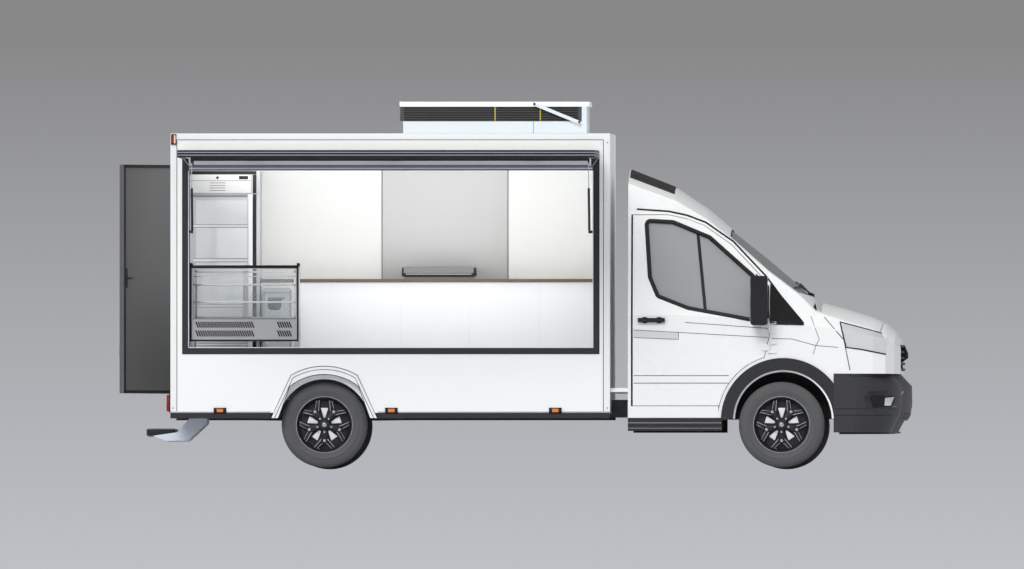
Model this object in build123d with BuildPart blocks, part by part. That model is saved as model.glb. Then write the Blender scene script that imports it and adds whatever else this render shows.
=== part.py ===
from build123d import *
import os
from math import atan2, cos, hypot, radians, sin

# Food truck: a two-door cab with a square kitchen body behind it, its serving flap and rear
# door open. X points forward, Y to the left and Z up; the origin is on the ground, in the
# middle of the length and width over the open flap and door. Millimetres and degrees.

# Driving sizes of the vehicle
wheelbase = 3750
wheel_track = 1770
tyre_radius = 351
tyre_width = 225
panel_gap = 5
pin_gap = 0.4
overrun = 20

# Kitchen body: outside limits, measured from the rear axle and from the ground
box_rear_overhang = 1261
box_half_width = 1075
box_top = 2740
box_bottom = 448
wall = 40
floor_top = 615
floor_thickness = 40
post_width = 53
corner_chamfer = 58

# Serving hatch in the right-hand wall, and its flap hinged along the top
hatch_rear_inset = 102
hatch_front_inset = 91
hatch_sill_height = 321
hatch_top_drop = 146
hatch_frame_width = 50
hatch_header = 158
hatch_rebate = 12
frame_proud = 12
frame_lining = 15
flap_thickness = 60
flap_rim = 60
flap_panel = 35
flap_reach = 1650
flap_overlap = 6
flap_hinge_gap = 15
hinge_radius = 9
hinge_length = 90
flap_hinges = 3
flap_axis_drop = 4

# Rear door, hinged on its left jamb and standing open
rear_door_width = 750
rear_door_height = 1876
rear_door_thickness = 45
rear_door_gap = 7
rear_door_angle = 35
rear_hinge_proud = 12

# Cab: outside limits; its stations are shares of these
cab_gap = 147
cab_lead = 1260
cab_length = 2225
cab_tuck = 45
cab_height = 2451
cab_sill = 407
cab_skin = 45
bumper_proud = 85
mirror_proud = 207

# Limits of the whole vehicle as it stands, for the origin
front_overhang = cab_length - cab_lead + bumper_proud
cab_half_width = box_half_width - cab_tuck
mirror_reach = cab_half_width + mirror_proud
hatch_top = box_top - hatch_top_drop
flap_axis_y = -(box_half_width + frame_proud + panel_gap + flap_thickness)
flap_axis_z = hatch_top - flap_axis_drop
rear_door_reach = (box_rear_overhang + rear_hinge_proud
                   + (rear_door_width + rear_door_gap) * sin(radians(rear_door_angle)))
rear_axle_x = (rear_door_reach - wheelbase - front_overhang) / 2
centre_y = (flap_reach - flap_axis_y - mirror_reach) / 2

# Places worked out from the driving sizes, measured from the rear axle
box_rear = -box_rear_overhang
cab_rear = wheelbase - cab_lead
box_front = cab_rear - cab_gap
hatch_rear = box_rear + hatch_rear_inset
hatch_front = box_front - hatch_front_inset
hatch_bottom = floor_top + hatch_sill_height
wheel_y = wheel_track / 2
both_sides = (-1, 1)


def ahead(leads):
    """Distances from the rear axle of places given by their leads on the front axle."""
    return tuple(wheelbase + lead for lead in leads)


def in_box(insets):
    """Distances from the rear axle of places given by their insets from the box's front."""
    return tuple(box_front - inset for inset in insets)


def box_places(shares):
    """Distances from the rear axle of places given as shares of the box's length."""
    return tuple(box_rear + share * (box_front - box_rear) for share in shares)


def level(height):
    """Level plane: local x forward from the rear axle, local y left from the centre."""
    return Plane(origin=(rear_axle_x, centre_y, height), x_dir=(1, 0, 0), z_dir=(0, 0, 1))


def side(across):
    """Upright plane along the vehicle: local x forward, local y up, normal to the right."""
    return Plane(origin=(rear_axle_x, centre_y + across, 0), x_dir=(1, 0, 0), z_dir=(0, -1, 0))


def cross(along):
    """Upright plane across the vehicle: local x to the left, local y up, normal forward."""
    return Plane(origin=(rear_axle_x + along, centre_y, 0), x_dir=(0, 1, 0), z_dir=(1, 0, 0))


def block(x, y, z, mode=Mode.ADD):
    """Cuboid between the (from, to) limits along each axis."""
    with BuildSketch(level(min(z))) as outline:
        with Locations(((x[0] + x[1]) / 2, (y[0] + y[1]) / 2)):
            Rectangle(abs(x[1] - x[0]), abs(y[1] - y[0]))
    extrude(outline.sketch, amount=abs(z[1] - z[0]), mode=mode)


def prism(plane_at, points, limits, mode=Mode.ADD):
    """Straight-sided outline on a family of planes, extruded between two of them."""
    with BuildSketch(plane_at(limits[0])) as outline:
        with BuildLine():
            Polyline(*points, close=True)
        make_face()
    run = limits[0] - limits[1] if plane_at is side else limits[1] - limits[0]
    extrude(outline.sketch, amount=run, mode=mode)


def rod(plane_at, centre, radius, limits, mode=Mode.ADD):
    """Round bar on a family of planes, between two of them."""
    with BuildSketch(plane_at(limits[0])) as outline:
        with Locations(centre):
            Circle(radius)
    run = limits[0] - limits[1] if plane_at is side else limits[1] - limits[0]
    extrude(outline.sketch, amount=run, mode=mode)


def around(centre, half):
    """The (from, to) limits of a stretch given by its middle and half its length."""
    return (centre - half, centre + half)


def handed(hand, near, far):
    """The (from, to) limits across the vehicle on the right (-1) or left (+1) side."""
    return (hand * near, hand * far)


def save(piece, name):
    """Label a finished piece and write it."""
    piece.part.label = name
    export_step(piece.part, f"parts/{name}.step")


os.makedirs("parts", exist_ok=True)

# Wheels: tyre and rim profiles, radius against distance from the wheel's middle plane
rim_radius = 235
rim_wall = 13
rim_half_width = 102
tread_half_width = 84
shoulder_drop = 12
shoulder_half_width = 105
bulge_drop = 55
spoke_plate = (48, 82)
hub_radius = 72
hub_inner = 45
window_inner_radius = 57
window_outer_radius = 140
window_inner_half = 8
window_outer_half = 31
spoke_count = 5

tyre_outline = (
    (rim_radius, -rim_half_width),
    (tyre_radius - bulge_drop, -tyre_width / 2),
    (tyre_radius - shoulder_drop, -shoulder_half_width),
    (tyre_radius, -tread_half_width),
    (tyre_radius, tread_half_width),
    (tyre_radius - shoulder_drop, shoulder_half_width),
    (tyre_radius - bulge_drop, tyre_width / 2),
    (rim_radius, rim_half_width),
)
hub_profile = (
    (0, -hub_inner),
    (hub_radius, -hub_inner),
    (hub_radius, spoke_plate[0]),
    (rim_radius - rim_wall, spoke_plate[0]),
    (rim_radius - rim_wall, -rim_half_width),
    (rim_radius, -rim_half_width),
    (rim_radius, rim_half_width),
    (rim_radius - rim_wall, rim_half_width),
    (rim_radius - rim_wall, spoke_plate[1]),
    (0, spoke_plate[1]),
)

# Columns: name, distance from the rear axle, hand
wheels = (
    ("rear_right", 0, -1),
    ("rear_left", 0, 1),
    ("front_right", wheelbase, -1),
    ("front_left", wheelbase, 1),
)


def wheel_plane(along, hand):
    """Cross plane through a hub: local x outward along the axle, local y up, hub at zero."""
    return Plane(
        origin=(rear_axle_x + along, centre_y + hand * wheel_y, tyre_radius),
        x_dir=(0, hand, 0),
        z_dir=(hand, 0, 0),
    )


def wheel_ring(along, hand, outline):
    """Revolve a (radius, outward) outline about a hub's axle."""
    plane = wheel_plane(along, hand)
    with BuildSketch(plane) as section:
        with BuildLine():
            Polyline(*[(outward, radius) for radius, outward in outline], close=True)
        make_face()
    revolve(section.sketch, axis=Axis(plane.origin, plane.x_dir))


for wheel_name, wheel_x, hand in wheels:
    with BuildPart() as tyre:
        wheel_ring(wheel_x, hand, tyre_outline)
    save(tyre, f"tyre_{wheel_name}")

    with BuildPart() as rim:
        wheel_ring(wheel_x, hand, hub_profile)
        face_plane = side(hand * wheel_y)
        for index in range(spoke_count):
            turn = 360 / spoke_count * index
            with BuildSketch(face_plane) as window:
                with Locations(Location((wheel_x, tyre_radius), turn)):
                    Polygon(
                        (-window_inner_half, window_inner_radius),
                        (window_inner_half, window_inner_radius),
                        (window_outer_half, window_outer_radius),
                        (-window_outer_half, window_outer_radius),
                        align=None,
                    )
            extrude(window.sketch, amount=-hand * (spoke_plate[1] + overrun), mode=Mode.SUBTRACT)
    save(rim, f"rim_{wheel_name}")

# Chassis: two channel rails with cross-members, outriggers and the body's black bottom rails
rail_inner = 360
rail_outer = 430
rail_bottom = 420
rail_top = 560
rail_web = 8
rail_end_inset = 61
rail_lead = 810
rail_rear = box_rear + rail_end_inset
rail_front = wheelbase + rail_lead
member_half = 30
member_drop = 20
member_shares = (0.007, 0.125, 0.2917, 0.4687, 0.6597, 0.79, 0.99)
outrigger_shares = (0.1, 0.561, 0.738, 0.946)
outrigger_half = 25
outrigger_bottom = 500
skirt_bottom = 403
arch_foot = 436
arch_foot_inner = 377
subframe_half = 110
subframe_bottom = 380

channel = (
    (rail_inner, rail_bottom),
    (rail_outer, rail_bottom),
    (rail_outer, rail_top),
    (rail_inner, rail_top),
    (rail_inner, rail_top - rail_web),
    (rail_outer - rail_web, rail_top - rail_web),
    (rail_outer - rail_web, rail_bottom + rail_web),
    (rail_inner, rail_bottom + rail_web),
)
with BuildPart() as body_rails:
    for place in box_places(outrigger_shares):
        block(
            around(place, outrigger_half),
            (rail_outer, box_half_width - wall),
            (outrigger_bottom, rail_top),
        )
        block(
            around(place, outrigger_half),
            (box_half_width - 2 * wall, box_half_width - wall),
            (skirt_bottom, rail_top),
        )
    for limits in ((box_rear, -arch_foot), (arch_foot, box_front)):
        block(limits, (box_half_width - wall, box_half_width), (skirt_bottom, box_bottom))
    mirror(about=side(0))
save(body_rails, "body_rails")

with BuildPart() as chassis_frame:
    prism(cross, channel, (rail_rear, rail_front))
    mirror(about=side(0))
    for share in member_shares:
        block(
            around(rail_rear + share * (rail_front - rail_rear), member_half),
            (-rail_outer + rail_web, rail_outer - rail_web),
            (rail_bottom + member_drop, rail_top - member_drop),
        )
    block(
        around(wheelbase, subframe_half),
        (-rail_outer, rail_outer),
        (subframe_bottom, rail_bottom),
    )
save(chassis_frame, "chassis_frame")

# Rear axle: beam, stub ends that carry the hubs, drums' backing plates, leaf springs
beam_radius = 42
stub_radius = 30
plate_radius = 128
plate_thickness = 14
spring_half_length = 610
spring_thickness = 22
spring_end = rail_bottom - spring_thickness
spring_inset = 5
clamp_half = 55
clamp_thickness = 12
hub_face = wheel_y - hub_inner - pin_gap

with BuildPart() as rear_axle:
    rod(side, (0, tyre_radius), beam_radius, (0, hub_face - plate_thickness))
    rod(side, (0, tyre_radius), plate_radius, (hub_face - plate_thickness, hub_face - pin_gap))
    rod(side, (0, tyre_radius), stub_radius, (hub_face - plate_thickness, hub_face))
    with BuildSketch(side(rail_inner + spring_inset)) as leaf:
        with BuildLine():
            lower = ThreePointArc(
                (-spring_half_length, spring_end),
                (0, tyre_radius + beam_radius),
                (spring_half_length, spring_end),
            )
            Line(lower @ 1, (spring_half_length, rail_bottom))
            ThreePointArc(
                (spring_half_length, rail_bottom),
                (0, tyre_radius + beam_radius + spring_thickness),
                (-spring_half_length, rail_bottom),
            )
            Line((-spring_half_length, rail_bottom), lower @ 0)
        make_face()
    extrude(leaf.sketch, amount=-(rail_outer - rail_inner - 2 * spring_inset))
    block(
        around(0, clamp_half),
        (rail_inner + spring_inset, rail_outer - spring_inset),
        (tyre_radius - beam_radius - clamp_thickness, tyre_radius + beam_radius + spring_thickness),
    )
    mirror(about=side(0))
save(rear_axle, "rear_axle")

# Front suspension: upper and lower arms from the subframe to the ball joints of the knuckles
kingpin_inset = 95
kingpin_y = wheel_y - kingpin_inset
ball_radius = 28
lower_ball = 215
upper_ball = 490
arm_thickness = 22
arm_base_half = 95
upper_base_half = 70
upright_half = 30
upright_depth = 22
arm_inset = 40
arm_root = rail_outer - arm_inset
tower_thickness = 12


def arm(base_half, root, height):
    """Tapered suspension arm from its root to the rounded end at the ball joint."""
    with BuildSketch(level(height)) as outline:
        with BuildLine():
            Polyline(
                (wheelbase - base_half, root),
                (wheelbase - ball_radius, kingpin_y),
                (wheelbase + ball_radius, kingpin_y),
                (wheelbase + base_half, root),
                close=True,
            )
        make_face()
        with Locations((wheelbase, kingpin_y)):
            Circle(ball_radius)
    extrude(outline.sketch, amount=arm_thickness)


with BuildPart() as front_suspension:
    arm(arm_base_half, arm_root, lower_ball - arm_thickness)
    block(
        around(wheelbase, arm_base_half),
        (arm_root, arm_root + tower_thickness),
        (lower_ball - arm_thickness, subframe_bottom),
    )
    arm(upper_base_half, rail_outer, upper_ball)
    rod(level, (wheelbase, kingpin_y), stub_radius / 2, (lower_ball, lower_ball + pin_gap))
    mirror(about=side(0))
save(front_suspension, "front_suspension")

for wheel_name, wheel_x, hand in wheels[2:]:
    with BuildPart() as knuckle:
        block(
            around(wheel_x, upright_half),
            around(hand * kingpin_y, upright_depth),
            (lower_ball + 2 * pin_gap, upper_ball - pin_gap),
        )
        rod(
            side,
            (wheel_x, tyre_radius),
            stub_radius,
            handed(hand, kingpin_y, hub_face),
        )
    save(knuckle, f"knuckle_{wheel_name}")

# Engine and gearbox under the bonnet, as one plain block on the rails' inner faces
engine_leads = (280, 690)
engine_half_width = rail_inner
engine_z = (rail_bottom + member_drop, 980)

with BuildPart() as engine_block:
    block(ahead(engine_leads), (-engine_half_width, engine_half_width), engine_z)
save(engine_block, "engine_block")

# Kitchen floor with the two wheel boxes standing in it
well_half_length = 440
well_inner = 700
well_top = 775
well_wall = 15
inner_side = box_half_width - wall
inner_rear = box_rear + wall
inner_front = box_front - wall

with BuildPart() as box_floor:
    block((inner_rear, inner_front), (-inner_side, inner_side), (floor_top - floor_thickness, floor_top))
    for hand in both_sides:
        block(
            around(0, well_half_length),
            handed(hand, well_inner, inner_side),
            (floor_top - floor_thickness, well_top),
        )
    for hand in both_sides:
        block(
            around(0, well_half_length - well_wall),
            handed(hand, well_inner + well_wall, inner_side),
            (floor_top - floor_thickness, well_top - well_wall),
            mode=Mode.SUBTRACT,
        )
save(box_floor, "box_floor")

# Wheel arches in the side walls: feet, shoulders and crown of the opening and of its flare
arch_shoulder = 282
arch_shoulder_z = 665
arch_crown_z = 763
flare_shoulder = 272
flare_shoulder_z = 757
flare_crown_z = 831
flare_proud = 26


def arch_outline(foot, shoulder, shoulder_z, crown_z, foot_z):
    """Closed arch outline on the current side sketch: slanting feet under a round crown."""
    with BuildLine() as arch:
        Polyline((-shoulder, shoulder_z), (-foot, foot_z), (foot, foot_z), (shoulder, shoulder_z))
        ThreePointArc((shoulder, shoulder_z), (0, crown_z), (-shoulder, shoulder_z))
    return make_face(arch.line)


def arch_prism(sizes, foot_z, limits, mode=Mode.ADD):
    """Arch outline extruded between two distances from the centre plane."""
    with BuildSketch(side(limits[0])) as outline:
        arch_outline(*sizes, foot_z)
    extrude(outline.sketch, amount=limits[0] - limits[1], mode=mode)


arch_opening = (arch_foot_inner, arch_shoulder, arch_shoulder_z, arch_crown_z)
flare_outer = (arch_foot, flare_shoulder, flare_shoulder_z, flare_crown_z)

# Edge profiles: posts and top rails round each side wall, with cut corners
panel_rear = box_rear + post_width
panel_front = box_front - post_width
panel_top = box_top - post_width
opening_corners = (
    (panel_rear, box_bottom),
    (panel_front, box_bottom),
    (panel_front, panel_top - corner_chamfer),
    (panel_front - corner_chamfer, panel_top),
    (panel_rear + corner_chamfer, panel_top),
    (panel_rear, panel_top - corner_chamfer),
)
frame_depth = (inner_side, box_half_width)

with BuildPart() as edge_profiles:
    block((box_rear, box_front), frame_depth, (box_bottom, box_top))
    prism(side, opening_corners, frame_depth, mode=Mode.SUBTRACT)
    mirror(about=side(0))
save(edge_profiles, "edge_profiles")


def side_wall(hand):
    """Side wall panel inside its edge profiles, open at the wheel arch."""
    limits = handed(hand, box_half_width, inner_side)
    prism(side, opening_corners, limits)
    arch_prism(arch_opening, box_bottom, limits, mode=Mode.SUBTRACT)


with BuildPart() as box_left_wall:
    side_wall(1)
save(box_left_wall, "box_left_wall")

cut_rear = hatch_rear + hatch_rebate
cut_front = hatch_front - hatch_rebate
cut_bottom = hatch_bottom + hatch_rebate
cut_top = hatch_top - hatch_rebate
with BuildPart() as box_right_wall:
    side_wall(-1)
    block(
        (cut_rear, cut_front),
        handed(-1, box_half_width, inner_side),
        (cut_bottom, cut_top),
        mode=Mode.SUBTRACT,
    )
save(box_right_wall, "box_right_wall")

between_profiles = (-inner_side, inner_side)
tie_y = 960
tie_half = 40
tie_z = (620, 652)

with BuildPart() as box_front_wall:
    block((inner_front, box_front), between_profiles, (box_bottom, box_top))
    block(
        (inner_front, box_front),
        (-rail_outer - panel_gap, rail_outer + panel_gap),
        (box_bottom, rail_top),
        mode=Mode.SUBTRACT,
    )
    for hand in both_sides:
        block((box_front, cab_rear), around(hand * tie_y, tie_half), tie_z)
save(box_front_wall, "box_front_wall")

with BuildPart() as box_roof:
    block((inner_rear, inner_front), between_profiles, (box_top - wall, box_top))
save(box_roof, "box_roof")

with BuildPart() as arch_flares:
    for hand in both_sides:
        limits = handed(hand, box_half_width, box_half_width + flare_proud)
        arch_prism(flare_outer, skirt_bottom, limits)
        arch_prism(arch_opening, skirt_bottom, limits, mode=Mode.SUBTRACT)
save(arch_flares, "arch_flares")

# Rear wall with its doorway, and the fixed ears of the door's hinges
door_axis_y = rear_door_width / 2 + rear_door_gap
door_axis_x = box_rear - rear_hinge_proud
doorway_y = (door_axis_y - rear_door_width - 2 * rear_door_gap, door_axis_y)
doorway_z = (floor_top - rear_door_gap, floor_top + rear_door_height + rear_door_gap)
door_hinge_share = (0.09, 0.5, 0.91)
door_hinge_half = 45
ear_length = 35
tab_half = 4
tab_length = 34

with BuildPart() as box_rear_wall:
    block((box_rear, inner_rear), between_profiles, (box_bottom, box_top))
    block((box_rear, inner_rear), doorway_y, doorway_z, mode=Mode.SUBTRACT)
    for share in door_hinge_share:
        hinge_z = floor_top + share * rear_door_height
        for end in both_sides:
            start = hinge_z + end * (door_hinge_half + pin_gap)
            stop = start + end * ear_length
            rod(level, (door_axis_x, door_axis_y), hinge_radius, (start, stop))
            block(
                (door_axis_x - tab_half, box_rear),
                (door_axis_y, door_axis_y + tab_length),
                (start, stop),
            )
save(box_rear_wall, "box_rear_wall")


def door_level(height):
    """Level plane on the rear door's hinge axis: local x along the door, local y inward."""
    turn = radians(rear_door_angle)
    return Plane(
        origin=(rear_axle_x + door_axis_x, centre_y + door_axis_y, height),
        x_dir=(-sin(turn), -cos(turn), 0),
        z_dir=(0, 0, 1),
    )


def door_block(along, inward, z, mode=Mode.ADD):
    """Cuboid in the rear door's own directions."""
    with BuildSketch(door_level(min(z))) as outline:
        with Locations(((along[0] + along[1]) / 2, (inward[0] + inward[1]) / 2)):
            Rectangle(abs(along[1] - along[0]), abs(inward[1] - inward[0]))
    extrude(outline.sketch, amount=abs(z[1] - z[0]), mode=mode)


handle_along = (690, 716)
handle_depth = 32
handle_z = (905, 1007)
handle_foot = 18
seal_width = 28
seal_recess = 6
door_span = (rear_door_gap, rear_door_gap + rear_door_width)
door_depth = (rear_hinge_proud, rear_hinge_proud + rear_door_thickness)
door_z = (floor_top, floor_top + rear_door_height)

with BuildPart() as rear_door:
    door_block(door_span, door_depth, door_z)
    door_block(
        (door_span[0] + seal_width, door_span[1] - seal_width),
        (door_depth[1] - seal_recess, door_depth[1]),
        (door_z[0] + seal_width, door_z[1] - seal_width),
        mode=Mode.SUBTRACT,
    )
    door_block(
        handle_along,
        (door_depth[0] - handle_depth, door_depth[0] - handle_foot),
        handle_z,
    )
    for foot in (
        (handle_z[0], handle_z[0] + handle_foot),
        (handle_z[1] - handle_foot, handle_z[1]),
    ):
        door_block(handle_along, (door_depth[0] - handle_depth, door_depth[0]), foot)
    for share in door_hinge_share:
        hinge_z = floor_top + share * rear_door_height
        with BuildSketch(door_level(hinge_z - door_hinge_half)) as knuckle_round:
            Circle(hinge_radius)
        extrude(knuckle_round.sketch, amount=2 * door_hinge_half)
        door_block((0, tab_length), (-tab_half, door_depth[0]), around(hinge_z, door_hinge_half))
save(rear_door, "rear_door")

# Hatch frame: flange on the wall, lining through it, header, hinge rail and strut bosses
inside_rear = hatch_rear + hatch_frame_width
inside_front = hatch_front - hatch_frame_width
inside_bottom = hatch_bottom + hatch_frame_width
inside_top = hatch_top - hatch_header
flange_y = handed(-1, box_half_width, box_half_width + frame_proud)
lining_y = handed(-1, box_half_width, inner_side - frame_lining)
hinge_rail_gap = hinge_radius + panel_gap
hinge_rail_lift = 8
hinge_rail_thickness = 18
hinge_ear = 22
flap_rear = hatch_rear - flap_overlap
flap_front = hatch_front + flap_overlap
hinge_pitch = (flap_front - flap_rear) / flap_hinges
strut_boss_inset = 15
strut_boss_y = strut_boss_inset - box_half_width
strut_boss_drop = 662
strut_boss_z = hatch_top - strut_boss_drop
strut_eye_radius = 12
strut_eye_width = 14
strut_jamb_gap = 20
strut_lug_gap = 6
flap_lug_drop = 45
flap_lug_reach = 215
lug_width = 13

with BuildPart() as hatch_frame:
    block((hatch_rear, hatch_front), flange_y, (hatch_bottom, hatch_top))
    block((cut_rear, cut_front), lining_y, (cut_bottom, cut_top))
    block(
        (inside_rear, inside_front),
        (flange_y[1], lining_y[1]),
        (inside_bottom, inside_top),
        mode=Mode.SUBTRACT,
    )
    block(
        (hatch_rear, hatch_front),
        (flap_axis_y + hinge_rail_gap, flange_y[1]),
        (flap_axis_z - hinge_rail_lift, flap_axis_z - hinge_rail_lift + hinge_rail_thickness),
    )
    for index in range(flap_hinges):
        hinge_x = flap_rear + (index + 1 / 2) * hinge_pitch
        for end in both_sides:
            start = hinge_x + end * (hinge_length / 2 + pin_gap)
            stop = start + end * hinge_ear
            rod(cross, (flap_axis_y, flap_axis_z), hinge_radius, (start, stop))
            block(
                (start, stop),
                (flap_axis_y, flap_axis_y + hinge_rail_gap),
                around(flap_axis_z, hinge_rail_lift),
            )
    for jamb, inward in ((inside_rear, 1), (inside_front, -1)):
        rod(
            cross,
            (strut_boss_y, strut_boss_z),
            strut_eye_radius,
            (jamb, jamb + inward * strut_jamb_gap),
        )
save(hatch_frame, "hatch_frame")

# Flap, standing straight out from its hinge line: a panel in a deeper rim
flap_root = flap_axis_y - flap_hinge_gap
flap_tip = flap_axis_y - flap_reach
flap_under = flap_axis_z - flap_thickness

with BuildPart() as hatch_flap:
    block((flap_rear, flap_front), (flap_tip, flap_root), (flap_under, flap_axis_z))
    block(
        (flap_rear + flap_rim, flap_front - flap_rim),
        (flap_tip + flap_rim, flap_root - flap_rim),
        (flap_under, flap_axis_z - flap_panel),
        mode=Mode.SUBTRACT,
    )
    for index in range(flap_hinges):
        hinge_x = flap_rear + (index + 1 / 2) * hinge_pitch
        span = around(hinge_x, hinge_length / 2)
        rod(cross, (flap_axis_y, flap_axis_z), hinge_radius, span)
        block(
            span,
            (flap_axis_y, flap_root - tab_length),
            (flap_axis_z - hinge_radius, flap_axis_z - tab_half),
        )
    for jamb, inward in ((inside_rear, 1), (inside_front, -1)):
        block(
            (jamb + inward * strut_lug_gap, jamb + inward * (strut_lug_gap + lug_width)),
            around(flap_axis_y - flap_lug_reach, strut_eye_radius),
            (flap_under - flap_lug_drop - strut_eye_radius, flap_axis_z - flap_panel),
        )
save(hatch_flap, "hatch_flap")

# Gas struts: barrel hinged on the jamb, rod sliding in it with its eye on the flap's lug
barrel_radius = 10
barrel_shoulder = 3
barrel_start = strut_eye_radius + barrel_shoulder
neck_radius = 6
barrel_end = 405
bore_radius = 4.6
bore_floor = 150
rod_radius = 4
rod_length = 280
eye_y = flap_axis_y - flap_lug_reach
eye_z = flap_under - flap_lug_drop
strut_length = hypot(eye_y - strut_boss_y, eye_z - strut_boss_z)
strut_lean = atan2(strut_boss_y - eye_y, eye_z - strut_boss_z)
strut_direction = (0, -sin(strut_lean), cos(strut_lean))


def strut_plane(along, distance):
    """Plane square across a strut, at a distance from its lower eye."""
    return Plane(
        origin=(
            rear_axle_x + along,
            centre_y + strut_boss_y + distance * strut_direction[1],
            strut_boss_z + distance * strut_direction[2],
        ),
        x_dir=(1, 0, 0),
        z_dir=strut_direction,
    )


def strut_bar(along, radius, limits, mode=Mode.ADD):
    """Round bar along a strut between two distances from its lower eye."""
    with BuildSketch(strut_plane(along, limits[0])) as outline:
        Circle(radius)
    extrude(outline.sketch, amount=limits[1] - limits[0], mode=mode)


# Columns: name, jamb that the strut stands beside, direction away from the jamb
struts = (("rear", inside_rear, 1), ("front", inside_front, -1))
for strut_name, jamb, inward in struts:
    eye_from = jamb + inward * (strut_jamb_gap + pin_gap)
    eye_to = eye_from + inward * strut_eye_width
    strut_x = (eye_from + eye_to) / 2
    with BuildPart() as strut_barrel:
        rod(cross, (strut_boss_y, strut_boss_z), strut_eye_radius, (eye_from, eye_to))
        strut_bar(strut_x, neck_radius, (0, barrel_start))
        strut_bar(strut_x, barrel_radius, (barrel_start, barrel_end))
        strut_bar(strut_x, bore_radius, (bore_floor, barrel_end), mode=Mode.SUBTRACT)
    save(strut_barrel, f"strut_barrel_{strut_name}")

    with BuildPart() as strut_rod:
        rod(cross, (eye_y, eye_z), strut_eye_radius, (eye_from, eye_to))
        strut_bar(strut_x, rod_radius, (strut_length - rod_length, strut_length))
    save(strut_rod, f"strut_rod_{strut_name}")

# Rear step: tread on two curved arms under the frame's end, and a lamp at each rear corner
step_reach = 211
step_tuck = 31
step_drops = (99, 155)
step_half_width = 380
step_arm_y = 395
step_arm_half = 15
step_arm_lead = 224
step_tread_x = (box_rear - step_reach, box_rear + step_tuck)
step_tread_z = [rail_bottom - drop for drop in step_drops]
step_arm_front = rail_rear + step_arm_lead
step_arm_run = 445
step_arm_drop = 196

# Columns: share of the arm's run to the rear, share of its drop below the rail
step_arm_shares = (
    (0, 0),
    (0, 0.260),
    (0.351, 1),
    (0.748, 1),
    (1, 0.791),
    (0.557, 0.643),
    (0.297, 0),
)
step_arm = [
    (step_arm_front - back * step_arm_run, rail_bottom - down * step_arm_drop)
    for back, down in step_arm_shares
]

with BuildPart() as rear_step:
    block(step_tread_x, (-step_half_width, step_half_width), step_tread_z)
    for hand in both_sides:
        prism(side, step_arm, around(hand * step_arm_y, step_arm_half))
save(rear_step, "rear_step")

rear_lamp_depth = 33
rear_lamp_insets = (150, 60)
rear_lamp_lifts = (12, 147)
rear_lamp_y = [box_half_width - inset for inset in rear_lamp_insets]
rear_lamp_z = [box_bottom + lift for lift in rear_lamp_lifts]

with BuildPart() as rear_lamps:
    for hand in both_sides:
        block((box_rear - rear_lamp_depth, box_rear), handed(hand, *rear_lamp_y), rear_lamp_z)
save(rear_lamps, "rear_lamps")

# Marker lamps: middle of each along the side, half length, limits up the side
marker_proud = 12
low_marker_height = 41
top_marker_drops = (91, 7)
low_marker_z = (box_bottom, box_bottom + low_marker_height)
top_marker_z = [box_top - drop for drop in top_marker_drops]
marker_half = 51
top_marker_half = 20
marker_rear_inset = 406
marker_shares = (0.0603, 0.7656)
marker_places = [arch_foot + share * (box_front - arch_foot) for share in marker_shares]

with BuildPart() as marker_lamps:
    for hand in both_sides:
        proud = handed(hand, box_half_width, box_half_width + marker_proud)
        for place in (box_rear + marker_rear_inset, *marker_places):
            block(around(place, marker_half), proud, low_marker_z)
        block(around(box_rear + post_width / 2, top_marker_half), proud, top_marker_z)
save(marker_lamps, "marker_lamps")

# Roof unit: base tray, dark louvred band and lid, with a slanting stay
unit_half_width = 500
unit_base_insets = (1708, 243)
unit_band_insets = (1731, 243)
unit_lid_insets = (1736, 183)
unit_base_height = 106
unit_band_height = 116
unit_lid_height = 42
band_inset = 12
stay_thickness = 30
stay_width = 30
stay_insets = (643, 258)
front_post = 40
unit_base_x = in_box(unit_base_insets)
unit_base_top = box_top + unit_base_height
unit_band_top = unit_base_top + unit_band_height
unit_top = unit_band_top + unit_lid_height
stay_top_x, stay_foot_x = in_box(stay_insets)

with BuildPart() as roof_unit:
    block(unit_base_x, (-unit_half_width, unit_half_width), (box_top, unit_base_top))
    block(in_box(unit_lid_insets), (-unit_half_width, unit_half_width), (unit_band_top, unit_top))
    block(
        (unit_base_x[1], unit_base_x[1] + front_post),
        (-unit_half_width, unit_half_width),
        (box_top, unit_band_top),
    )
    for hand in both_sides:
        prism(
            side,
            (
                (stay_top_x, unit_top),
                (stay_foot_x, unit_base_top),
                (stay_foot_x, unit_base_top - stay_thickness),
                (stay_top_x, unit_top - stay_thickness),
            ),
            handed(hand, unit_half_width, unit_half_width + stay_width),
        )
save(roof_unit, "roof_unit")

with BuildPart() as roof_unit_band:
    block(
        in_box(unit_band_insets),
        (band_inset - unit_half_width, unit_half_width - band_inset),
        (unit_base_top, unit_band_top),
    )
save(roof_unit_band, "roof_unit_band")

# Kitchen: counter along the left wall with its worktop and griddle
fridge_gap = 88
fridge_width = 574
fridge_depth = 695
counter_gap = 9
counter_depth = 615
counter_height = 915
worktop_thickness = 27
worktop_overhang = 25
plinth_height = 90
plinth_inset = 50
griddle_lead = 1154
griddle_length = 599
griddle_depth = 450
griddle_inset = 60
griddle_base_inset = 20
fridge_x = (inner_rear + fridge_gap, inner_rear + fridge_gap + fridge_width)
fridge_back = inner_side - panel_gap
fridge_front = fridge_back - fridge_depth
counter_x = (fridge_x[1] + counter_gap, inner_front)
counter_front = inner_side - counter_depth
worktop_bottom = floor_top + counter_height
worktop_z = (worktop_bottom, worktop_bottom + worktop_thickness)
griddle_x = (counter_x[0] + griddle_lead, counter_x[0] + griddle_lead + griddle_length)
griddle_y = (counter_front + griddle_inset, counter_front + griddle_inset + griddle_depth)
griddle_foot = 33
griddle_height = 66
well_clear = 10

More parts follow.
